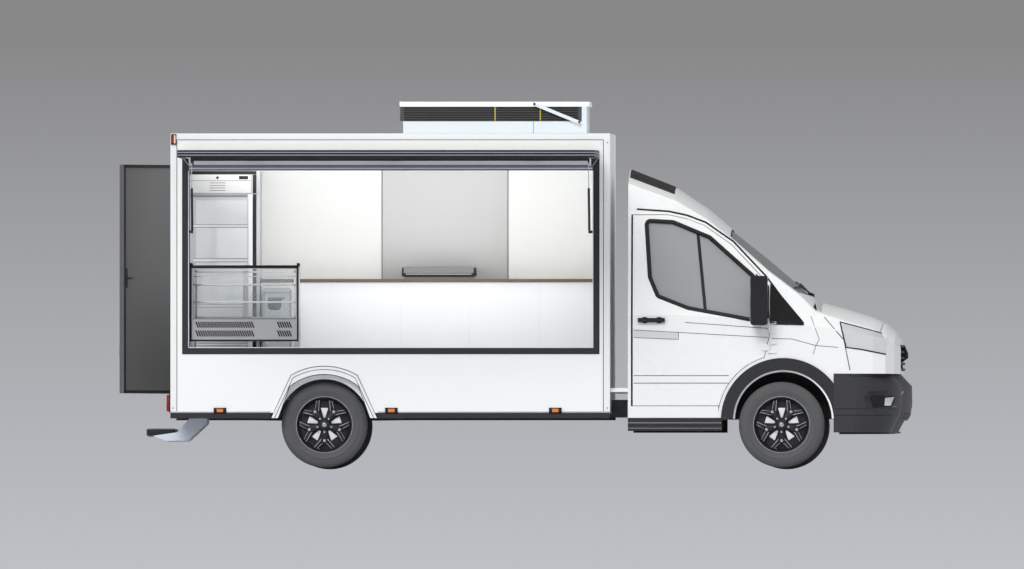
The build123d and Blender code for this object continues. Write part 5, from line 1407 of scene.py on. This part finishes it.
@dataclass
class DisplayCaseTrim:
    """Black frame, vents and shelf rails of the refrigerated display case."""

    x: Span = (-1101.0, -212.0)
    y: Span = (-1008.0, -508.0)
    base: Span = (1038.0, 1223.0)
    top: float = 1657.0
    vent_rows: tuple[Span, ...] = ((1075.0, 1124.0), (1147.0, 1196.0))
    vent_runs: tuple[Span, ...] = ((-1060.0, -562.0), (-391.0, -255.0))
    pitch: float = 19.0
    slot: float = 12.5
    slant: float = 20.0
    shelf_z: tuple[float, ...] = (1358.0, 1501.0)

    def build(self) -> None:
        """Make the case's trim."""
        (near, far), (front, back), (foot, deck) = self.x, self.y, self.base
        trim, rails, slide = (Form(f"case_{n}") for n in (
            "frame_edges", "shelf_rails", "sliding_frames"))
        for x in ((near - 2, near + 13), (far - 13, far + 2)):
            for y in ((front - 3, front + 12), (back - 12, back + 3)):
                trim.slab(x, y, (foot, self.top + 22), edge=3)
            trim.slab(x, self.y, (self.top - 6, self.top + 4), edge=2)
        trim.slab(self.x, (front - 3, front + 14), (self.top - 22, self.top + 2), edge=3)
        trim.slab(self.x, (front - 3, front + 6), (foot - 2, foot + 12), edge=2)
        run = (near + 22, far - 22)
        for z in self.shelf_z:
            for y in (front + 27, back - 32):
                rails.slab(run, (y, y + 5), around(z, 6), edge=1.5)
        rails.slab(run, (front + 24, front + 30), (1564, 1572), edge=1.5)
        rails.slab(run, (front - 2, front + 4), (deck - 8, deck + 3), edge=1.5)
        middle, depth = (near + far) / 2, (back - 24, back - 14)
        for x in (near + 40, middle - 10, middle + 14, far - 40):
            slide.slab(around(x, 9), depth, (deck, self.top - 30), edge=2)
        for z in (deck + 10, self.top - 48):
            slide.slab((near + 24, far - 24), depth, around(z, 8), edge=2)
        finish_all((trim, SEAM_BLACK), (rails, SHADE_GREY), (slide, LIGHT_GREY))
        self._vents((front + 2, front - 1.5))

    def _vents(self, depth: Span) -> None:
        """Rows of slanted vent slots in the base panel."""
        vents = Form("case_vents")
        for low, high in self.vent_rows:
            for start, stop in self.vent_runs:
                for index in range(int((stop - start - self.slant) / self.pitch)):
                    x = start + index * self.pitch
                    foot = x + self.slant
                    slot = ((foot, low), (foot + self.slot, low), (x + self.slot, high), (x, high))
                    vents.prism(Facing.SIDE, slot, depth)
        vents.finish(SEAM_BLACK)


# Cab


@dataclass
class CabTrim:
    """Seals, lines, painted crease and recess shade, sail panels, window bars, handles and wipers
    of the cab.
    """

    reach: float = 1400.0
    ditch: tuple[Point, ...] = (
        (2560, 2120), (2825, 2102), (2972, 2070), (3125, 2012), (3350, 1856), (3622, 1568),
        (3745, 1404), (3930, 1185),
    )
    sail: tuple[Point, ...] = (
        (3654, 1512), (3745, 1398), (3934, 1186), (3934, 1166), (3654, 1172),
    )
    door_sail: tuple[Point, ...] = (
        (3536, 1232), (3646, 1222), (3646, 1492), (3600, 1544), (3536, 1590),
    )
    lamp_line: tuple[Point, ...] = ((4100, 1232), (4261, 1046), (4310, 800))
    # Routes of the dark grey beads that paint the shade of the fender, hinge and door creases.
    fender_crease_shade: tuple[Point, ...] = ((3672, 1058), (3835, 1054), (4032, 1000), (4215, 985))
    hinge_crease: tuple[Point, ...] = ((3990, 1240), (4060, 1050), (4032, 1000), (4010, 930))
    door_creases: tuple[tuple[Point, ...], ...] = (
        ((2537, 1128), (2900, 1108), (3640, 1066)), ((2537, 1066), (2905, 1050), (2905, 1106)),
        ((2960, 1190), (3640, 1140)),
    )
    window_bar: tuple[Point, ...] = ((3048, 1925), (3074, 1913), (3138, 1285), (3112, 1288))
    moulding: tuple[Point, ...] = ((2537, 695), (3316, 695), (3306, 750), (2537, 750))
    handle_recess_shade: tuple[Point, ...] = ((2537, 1068), (2902, 1053), (2902, 1104), (2537, 1124))
    sill_z: tuple[Span, ...] = ((362.0, 370.0), (319.0, 325.0))
    mirror_z: tuple[Span, ...] = ((1188.0, 1400.0), (1410.0, 1545.0))
    cup_x: tuple[float, ...] = (2628.0, 2746.0)
    cup_z: float = 1208.0
    roof_reach: float = 2900.0
    rib_pitch: float = 150.0
    rib_halves: Point = (34.0, 30.0)

    def build(self) -> None:
        """Make the trim of both sides, then of the screen and the roof."""
        shell = Skin("cab_shell")
        for hand, side in HANDS.items():
            self._shell_side(shell, hand, side)
            self._door_side(hand, side)
        self._screen()
        self._roof(shell)

    def _roof(self, shell: Skin) -> None:
        """Black roof panel with its ribs."""
        roof, reach = Form("roof_ribs"), self.roof_reach
        panel = ((2500, -634), (2866, -604), (2866, 604), (2500, 634))
        roof.lay(shell, Facing.LEVEL, panel, reach, 3, 9, 60)
        rear, front = self.rib_halves
        for index in range(-4, 5):
            y = index * self.rib_pitch
            rib = ((2505, y - rear), (2865, y - front), (2865, y + front), (2505, y + rear))
            roof.lay(shell, Facing.LEVEL, rib, reach, 5, 9, 90)
        roof.finish(DEEP_BLACK)

    def _shell_side(self, shell: Skin, hand: int, side: str) -> None:
        """Roof ditch, sail panel, painted shade lines along the fender creases, and sill lines of
        one side.
        """
        start = hand * self.reach
        dark, crease_shade, sail, sill = (Form(f"{n}_{side}") for n in (
            "shell_lines", "fender_crease_shade", "sail", "sill_lines"))
        # The grey beads along the fender and hinge creases are painted shade of those creases.
        for form, route, radius in (
            (dark, self.ditch, 8), (dark, self.lamp_line, 3.5), (crease_shade, self.fender_crease_shade, 2.6),
            (crease_shade, self.hinge_crease, 2.4),
        ):
            form.bead(shell.trace(Facing.SIDE, route, start), radius)
        sail.lay(shell, Facing.SIDE, self.sail, start, 5, 10, 22)
        for z in self.sill_z:
            sill.slab((2492, 3258), (hand * 1030, hand * 1037.5), z, edge=1)
        finish_all((dark, SEAM_BLACK), (crease_shade, CREASE_SHADE_GREY), (sail, GLOSS_BLACK), (sill, SHADE_GREY))

    def _door_side(self, hand: int, side: str) -> None:
        """Window seal and bar, painted shade along the creases and over the handle recess, moulding
        and mirror glass of one door.
        """
        start, body = hand * self.reach, f"cab_door_{side}"
        door, glass = Skin(body), Skin(f"door_glass_{side}")
        seal, sail, lines, band, shade, mirror, cups = (Form(f"{n}_{side}") for n in (
            "window_seal", "door_sail", "door_crease_shade_lines", "door_moulding", "door_recess_shade",
            "mirror_glass", "handle_cup"))
        outward = Vector((0, hand, 0.25)).normalized()
        rim = [point + outward * 12 for point in rim_path(f"door_glass_{side}", outward, 0.5)]
        seal.bead(rim, 18, closed=True)
        seal.lay(glass, Facing.SIDE, self.window_bar, start, 4, 8)
        sail.lay(door, Facing.SIDE, self.door_sail, start, 5, 10, 26)
        # Grey beads along the door creases and the moulding's edges are painted shade in those
        # grooves.
        for route in self.door_creases:
            lines.bead(door.trace(Facing.SIDE, route, start), 2.6)
        for z in (692.0, 753.0):
            lines.bead(door.trace(Facing.SIDE, ((2537, z), (3318, z)), start), 3.2)
        band.lay(door, Facing.SIDE, self.moulding, start, 5, 9, 80)
        # Pale grey patch laid over the handle recess: painted shade of the recess.
        shade.lay(door, Facing.SIDE, self.handle_recess_shade, start, 2, 6, 80)
        for z in self.mirror_z:
            mirror.slab((3497, 3503), (hand * 1086, hand * 1226), z, edge=2)
        turns = [math.tau * k / 20 for k in range(20)]
        for x in self.cup_x:
            cup = [(x + 34 * math.cos(a), self.cup_z + 27 * math.sin(a)) for a in turns]
            cups.lay(door, Facing.SIDE, cup, start, 2, 6)
        finish_all((seal, SEAM_BLACK), (sail, GLOSS_BLACK), (lines, CREASE_SHADE_GREY),
                   (band, WHITE_MOULDING), (shade, LIGHT_GREY), (mirror, MIRROR_GLASS),
                   (cups, DEEP_BLACK), body=body)

    def _screen(self) -> None:
        """Rubber round the windscreen, and two wipers."""
        seal, wiper = Form("screen_seal"), Form("wipers")
        seal.bead(rim_path("windscreen", Vector((0.6, 0, 0.8)), 0.4), 10, closed=True)
        screen, reach = Skin("windscreen", "cab_shell"), 2000.0
        for y in (-90.0, 430.0):
            arm = screen.trace(Facing.LEVEL, ((3968, y), (3880, y - 300)), reach, 22)
            blade = screen.trace(Facing.LEVEL, ((3905, y - 20), (3850, y - 560)), reach, 10)
            foot = (arm[0].z - 30, arm[0].z + 6)
            wiper.bead(arm, 7).bead(blade, 6).bar(Facing.LEVEL, (3968, y), 20, foot, edge=4)
        finish_all((seal, SEAM_BLACK), (wiper, DEEP_BLACK))


@dataclass
class NoseTrim:
    """Headlamp insides, fog lamps, bumper lines, intake slats and the blank front plate."""

    reach: float = 1400.0
    front_reach: float = 5400.0
    fog_frame: tuple[Point, ...] = (
        (4425, 577), (4468, 626), (4740, 630), (4684, 499), (4527, 446), (4447, 492),
    )
    fog_well: tuple[Point, ...] = ((4474, 572), (4490, 592), (4700, 592), (4640, 496), (4500, 490))
    fog_lamp: tuple[Point, ...] = ((4590, 508), (4596, 572), (4668, 580), (4640, 508))
    intake_z: tuple[Span, ...] = ((655, 690), (400, 425), (432, 457))
    plate: tuple[Point, ...] = ((-230, 300), (230, 300), (230, 390), (-230, 390))
    side_lines: tuple[tuple[Point, ...], ...] = (
        ((4190, 482), (4680, 482)), ((4190, 428), (4640, 428)), ((4300, 752), (4690, 738)),
    )
    core_x: Span = (4470.0, 4496.0)
    core_rows: int = 14
    core_pitch: float = 14.5
    bowls: tuple[Point, ...] = ((-62.0, 42.0), (52.0, 34.0))
    backing: tuple[Point, ...] = ((-150, -52), (120, -52), (120, 60), (-150, 60))

    def build(self) -> None:
        """Make the nose's fine parts."""
        bumper = Skin("front_bumper", share=0.88)
        for hand, side in HANDS.items():
            self._lamps(bumper, hand, side)
        front, plate, lines, core = (Form(n) for n in (
            "bumper_intake", "front_plate", "bumper_lines", "radiator_core"))
        for low, high in self.intake_z:
            slot = ((-380, low), (380, low), (360, high), (-360, high))
            front.lay(bumper, Facing.CROSS, slot, self.front_reach, 1.0, 8, 90)
        plate.lay(bumper, Facing.CROSS, self.plate, self.front_reach, 2.0, 5, 110)
        for hand in HANDS:
            for route in self.side_lines:
                lines.bead(bumper.trace(Facing.SIDE, route, hand * self.reach), 2.6)
        face = self.core_x[1]
        core.slab(self.core_x, (-420, 420), (790, 1004), edge=4)
        for index in range(self.core_rows):
            core.slab((face, face + 5), (-410, 410), around(802 + index * self.core_pitch, 2))
        finish_all((front, SEAM_BLACK), (plate, PLATE_BLANK), (lines, SEAM_BLACK),
                   (core, DEEP_BLACK))

    def _lamps(self, bumper: Skin, hand: int, side: str) -> None:
        """Fog lamp in its gloss housing, and the reflectors behind the headlamp's lens."""
        start = hand * self.reach
        housing, well, lens, seal, bowl, backing = (Form(f"{n}_{side}") for n in (
            "fog_housing", "fog_well", "fog_lens", "headlamp_seal", "headlamp_bowls",
            "headlamp_backing"))
        housing.lay(bumper, Facing.SIDE, self.fog_frame, start, 3, 8)
        well.lay(bumper, Facing.SIDE, self.fog_well, start, 5, 8)
        lens.lay(bumper, Facing.SIDE, self.fog_lamp, start, 8, 8, 30)
        outward = Vector((0.62, hand * 0.78, 0.1)).normalized()
        rim = rim_path("headlamps", outward, 0.35, hand)
        seal.bead(rim, 6, closed=True)
        inside = sum(rim, Vector()) / len(rim) - outward * 55
        level = Vector((outward.x, outward.y, 0)).normalized()
        aside = Vector((-level.y, level.x, 0))
        for shift, radius in self.bowls:
            profile = ((8, -26), (radius * 0.7, -14), (radius, 10), (radius + 5, 12),
                       (radius + 5, 6), (radius * 0.75, -22), (8, -34))
            bowl.turned(profile, inside + aside * shift, level, 48)
        spread = [inside + aside * a + Vector((0, 0, z)) - level * 42 for a, z in self.backing]
        backing.bead(spread, 5, closed=True)
        finish_all((housing, GLOSS_BLACK), (well, SEAM_BLACK), (lens, REFLECTOR),
                   (seal, SEAM_BLACK), (bowl, REFLECTOR), (backing, SHADE_GREY))


# Seats


@dataclass
class Pad:
    """One padded seat part: a block blown up as cloth, then sewn down along its channels."""

    name: str
    outline: tuple[Point, ...]
    across: Span
    channels: tuple[float, ...] = ()
    voxel: float = 13.0
    cap: float = 15.0
    frames: int = 20
    channel_width: float = 9.0
    channel_depth: float = 7.0

    def build(self) -> None:
        """Make the pad."""
        form = Form(self.name).prism(Facing.SIDE, self.outline, self.across, edge=26)
        piece = form.finish(SEAT_FABRIC, "truck_body", "seat_fabric")
        self._inflate(piece)
        self._sew(piece.data)

    def _baked(self, piece: bpy.types.Object) -> None:
        """Put the result of the piece's modifiers in its mesh."""
        done = piece.evaluated_get(bpy.context.evaluated_depsgraph_get())
        mesh = bpy.data.meshes.new_from_object(done)
        piece.modifiers.clear()
        piece.data = mesh
        for face in mesh.polygons:
            face.use_smooth = True

    def _inflate(self, piece: bpy.types.Object) -> None:
        """Remesh the block and let pressure swell it, no further than the cap."""
        remesh = piece.modifiers.new("remesh", "REMESH")
        remesh.mode = "VOXEL"
        remesh.voxel_size = self.voxel * MM
        self._baked(piece)
        before = [vertex.co.copy() for vertex in piece.data.vertices]
        cloth = piece.modifiers.new("swell", "CLOTH")
        cloth.settings.use_pressure = True
        cloth.settings.uniform_pressure_force = 4.0
        cloth.settings.effector_weights.gravity = 0.0
        cloth.point_cache.frame_start, cloth.point_cache.frame_end = 1, self.frames
        for step in range(1, self.frames + 1):
            bpy.context.scene.frame_set(step)
        self._baked(piece)
        bpy.context.scene.frame_set(1)
        limit = self.cap * MM
        for vertex, start in zip(piece.data.vertices, before):
            move = vertex.co - start
            if move.length > limit:
                vertex.co = start + move.normalized() * limit
        smooth = piece.modifiers.new("smooth", "SUBSURF")
        smooth.levels = smooth.render_levels = 1
        self._baked(piece)

    def _sew(self, mesh: bpy.types.Mesh) -> None:
        """Draw the cover in along each channel, square to the seat's width."""
        middle = sum((v.co for v in mesh.vertices), Vector()) / len(mesh.vertices)
        for vertex in mesh.vertices:
            y = vertex.co.y / MM - ORIGIN_Y
            pull = sum(math.exp(-((y - c) / self.channel_width) ** 2) for c in self.channels)
            away = vertex.co - middle
            inward = Vector((away.x, 0, away.z)).normalized() * self.channel_depth * MM
            vertex.co -= inward * min(1.0, pull)


@dataclass
class Seats:
    """Driver's seat and double passenger seat: plinths, cushions, backs, headrests and stalks."""

    rear: float = 2490.0
    floor: float = 600.0
    inset: float = 12.0
    channel: float = 95.0
    stalk_half: float = 45.0
    cushion: tuple[Point, ...] = ((212, 262), (668, 262), (668, 372), (212, 352))
    back: tuple[Point, ...] = ((84, 384), (196, 384), (140, 1008), (54, 1008))
    headrest: tuple[Point, ...] = ((62, 1067), (120, 1067), (118, 1218), (66, 1218))

    def build(self) -> None:
        """Make both seats in place of the plain ones."""
        plinths, stalks, covers = (Form(n) for n in (
            "seat_plinths", "headrest_stalks", "seat_side_covers"))
        # Middle and half width of each seat, and where its headrests stand off that middle
        for name, middle, half, rests in (("driver", 480.0, 250.0, (0.0,)),
                                          ("bench", -430.0, 430.0, (-215.0, 215.0))):
            self._hard_parts(plinths, stalks, covers, middle, half, rests)
            self._pads(name, middle, half, rests)
        base = plinths.finish(TRIM_PLASTIC)
        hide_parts("seats")
        finish_all((stalks, ROD_CHROME), (covers, TRIM_PLASTIC))

    def _spots(self, *places: Point) -> tuple[Point, ...]:
        """Places from distances ahead of the cab's rear and above its floor."""
        return tuple((self.rear + x, self.floor + z) for x, z in places)

    def _hard_parts(self, plinths: Form, stalks: Form, covers: Form, middle: float, half: float,
                    rests: Sequence[float]) -> None:
        """Plinth, side covers and headrest stalks of one seat."""
        (x0, z0), (x1, z1), (x2, z2) = self._spots((230, 0), (610, 248), (86, 1000))
        plinths.slab((x0, x1), around(middle, half - 60), (z0, z1), edge=10)
        for side in (-1, 1):
            y = around(middle + side * (half - 40), 14)
            covers.slab((x0 - 10, x1 + 10), y, (z1 - 90, z1 + 4), edge=6)
        for rest in rests:
            for side in (-1, 1):
                spot = (x2, middle + rest + side * self.stalk_half)
                stalks.bar(Facing.LEVEL, spot, 6, (z2, z2 + 80), steps=20)

    def _pads(self, name: str, middle: float, half: float, rests: Sequence[float]) -> None:
        """Cushion, back and headrests of one seat."""
        channels = tuple(middle + rest + side * self.channel for rest in rests for side in (-1, 1))
        for part, outline, inset in (("cushion", self.cushion, self.inset),
                                     ("back", self.back, self.inset + 4)):
            across = around(middle, half - inset)
            Pad(f"{name}_{part}", self._spots(*outline), across, channels).build()
        for index, rest in enumerate(rests, 1):
            across = around(middle + rest, 108)
            outline = self._spots(*self.headrest)
            Pad(f"{name}_headrest_{index}", outline, across, (), voxel=10.0, cap=10.0).build()


# Studio


def hang(name: str, data: bpy.types.Camera | bpy.types.Light, looking: Vector,
         location: Vector = Vector()) -> bpy.types.Object:
    """Put a camera or a light in the scene, looking along a direction."""
    holder = bpy.data.objects.new(name, data)
    holder.location = location
    holder.rotation_mode = "QUATERNION"
    holder.rotation_quaternion = looking.to_track_quat("-Z", "Y")
    bpy.context.scene.collection.objects.link(holder)
    return holder


def studio_piece(name: str, mesh: bmesh.types.BMesh,
                 material: bpy.types.Material) -> bpy.types.Object:
    """Put a surface of the studio in the scene."""
    data = bpy.data.meshes.new(name)
    mesh.to_mesh(data)
    mesh.free()
    data.materials.append(material)
    piece = bpy.data.objects.new(name, data)
    bpy.context.scene.collection.objects.link(piece)
    return piece


@dataclass
class Studio:
    """Pale floor, graded backdrop, soft lights and the photograph's camera."""

    azimuth: float = 1.3
    elevation: float = -0.43
    view_width: float = 8396.8
    view_shape: float = 569 / 1024
    target: tuple[float, float, float] = (1539.0, -997.0, 1501.0)
    distance: float = 16000.0
    dome_radius: float = 45.0
    floor_share: float = 0.96
    sun_angle: float = 28.0
    top_grey: Colour = field(default_factory=lambda: srgb(136, 136, 137))
    low_grey: Colour = field(default_factory=lambda: srgb(194, 196, 202))

    def build(self) -> None:
        """Set up everything round the truck."""
        self._camera()
        self._daylight()
        self._kitchen_light()
        self._floor()
        self._backdrop()
        bpy.context.scene.view_settings.view_transform = "Standard"

    def _camera(self) -> None:
        """Level camera square to the truck's right side, without perspective."""
        camera = bpy.data.cameras.new("camera")
        camera.type = "ORTHO"
        camera.ortho_scale = self.view_width * MM
        camera.clip_end = 200
        a, e = math.radians(self.azimuth), math.radians(self.elevation)
        back = Vector((math.sin(a) * math.cos(e), -math.cos(a) * math.cos(e), math.sin(e)))
        place = TO_FRAME @ Vector(self.target) + back * self.distance * MM
        bpy.context.scene.camera = hang("camera", camera, -back, place)

    def _daylight(self) -> None:
        """Even light from all round, and two soft suns."""
        world = bpy.data.worlds.new("studio_light")
        world.use_nodes = True
        background = world.node_tree.nodes["Background"].inputs
        background["Color"].default_value = (0.96, 0.98, 1.0, 1.0)
        background["Strength"].default_value = 0.7
        bpy.context.scene.world = world
        for name, strength, looking in (
            ("key_sun", 1.78, (0.25, 0.8, -0.62)), ("fill_sun", 0.45, (-0.6, -0.7, -0.4)),
        ):
            light = bpy.data.lights.new(name, "SUN")
            light.energy = strength
            light.angle = math.radians(self.sun_angle)
            hang(name, light, Vector(looking))

    def _kitchen_light(self) -> None:
        """Soft light on the kitchen, from the hatch and from under the ceiling."""
        for name, power, size, spot, looking in (
            ("hatch_light", 22.0, (3.1, 1.3), (546, -1000, 1711), (0, 1, 0)),
            ("ceiling_light", 11.0, (3.2, 0.5), (546, 60, 2640), (0, 1, -0.55)),
        ):
            light = bpy.data.lights.new(name, "AREA")
            light.shape = "RECTANGLE"
            light.size, light.size_y = size
            light.energy = power
            hang(name, light, Vector(looking), TO_FRAME @ Vector(spot))

    def _floor(self) -> None:
        """Pale floor that shows from above only."""
        mesh = bmesh.new()
        radius = self.dome_radius * self.floor_share
        bmesh.ops.create_circle(mesh, cap_ends=True, segments=96, radius=radius)
        material, sheet = blank_material("studio_floor")
        place = sheet.add("TexCoord").outputs["Object"]
        speck = sheet.add("TexNoise", Vector=place, Scale=3.0, Detail=2.0).outputs["Fac"]
        tone = sheet.blend(speck, (*srgb(196, 197, 201), 1.0), (*srgb(200, 201, 205), 1.0))
        top, under = sheet.add("BsdfDiffuse", Color=tone), sheet.add("BsdfTransparent")
        beneath = sheet.add("NewGeometry").outputs["Backfacing"]
        surface = sheet.choose(beneath, top.outputs[0], under.outputs[0])
        sheet.add("OutputMaterial", Surface=surface)
        floor = studio_piece("studio_floor", mesh, material)

    def _backdrop(self) -> None:
        """Dome with the photograph's grey, darker towards the top, seen but casting no light."""
        mesh = bmesh.new()
        bmesh.ops.create_uvsphere(mesh, u_segments=64, v_segments=48, radius=self.dome_radius)
        bmesh.ops.reverse_faces(mesh, faces=mesh.faces[:])
        material, sheet = blank_material("studio_backdrop")
        place = sheet.add("TexCoord").outputs["Object"]
        height = sheet.add("SeparateXYZ", Vector=place).outputs["Z"]
        low, high = around(self.target[2] * MM, self.view_width * MM * self.view_shape / 2)
        level = sheet.add("MapRange", Value=height, From_Min=low, From_Max=high).outputs[0]
        grade = sheet.blend(level, (*self.low_grey, 1.0), (*self.top_grey, 1.0))
        glow, clear = sheet.add("Emission", Color=grade), sheet.add("BsdfTransparent")
        path = sheet.add("LightPath").outputs
        bounced = sheet.math("MAXIMUM", path["Is Glossy Ray"], path["Is Transmission Ray"])
        seen = sheet.math("MAXIMUM", path["Is Camera Ray"], bounced)
        surface = sheet.choose(seen, clear.outputs[0], glow.outputs[0])
        sheet.add("OutputMaterial", Surface=surface)
        dome = studio_piece("studio_backdrop", mesh, material)


def main() -> None:
    """Build the looks round the frame, sub-assembly by sub-assembly."""
    logging.basicConfig(level=logging.INFO, format="%(name)s: %(message)s")
    dress_nodes()
    for end in ("rear", "front"):
        for hand, side in HANDS.items():
            Wheel(f"{end}_{side}", hand).build()
    for part in (BoxTrim(), HatchTrim(), Lamps(), RearDoorTrim(), RearStepTread(), RoofUnitTrim(),
                 KitchenFittings(), FridgeFront(), DisplayCaseTrim(), CabTrim(), NoseTrim(),
                 Seats()):
        part.build()
    Studio().build()


if __name__ == "__main__":
    main()
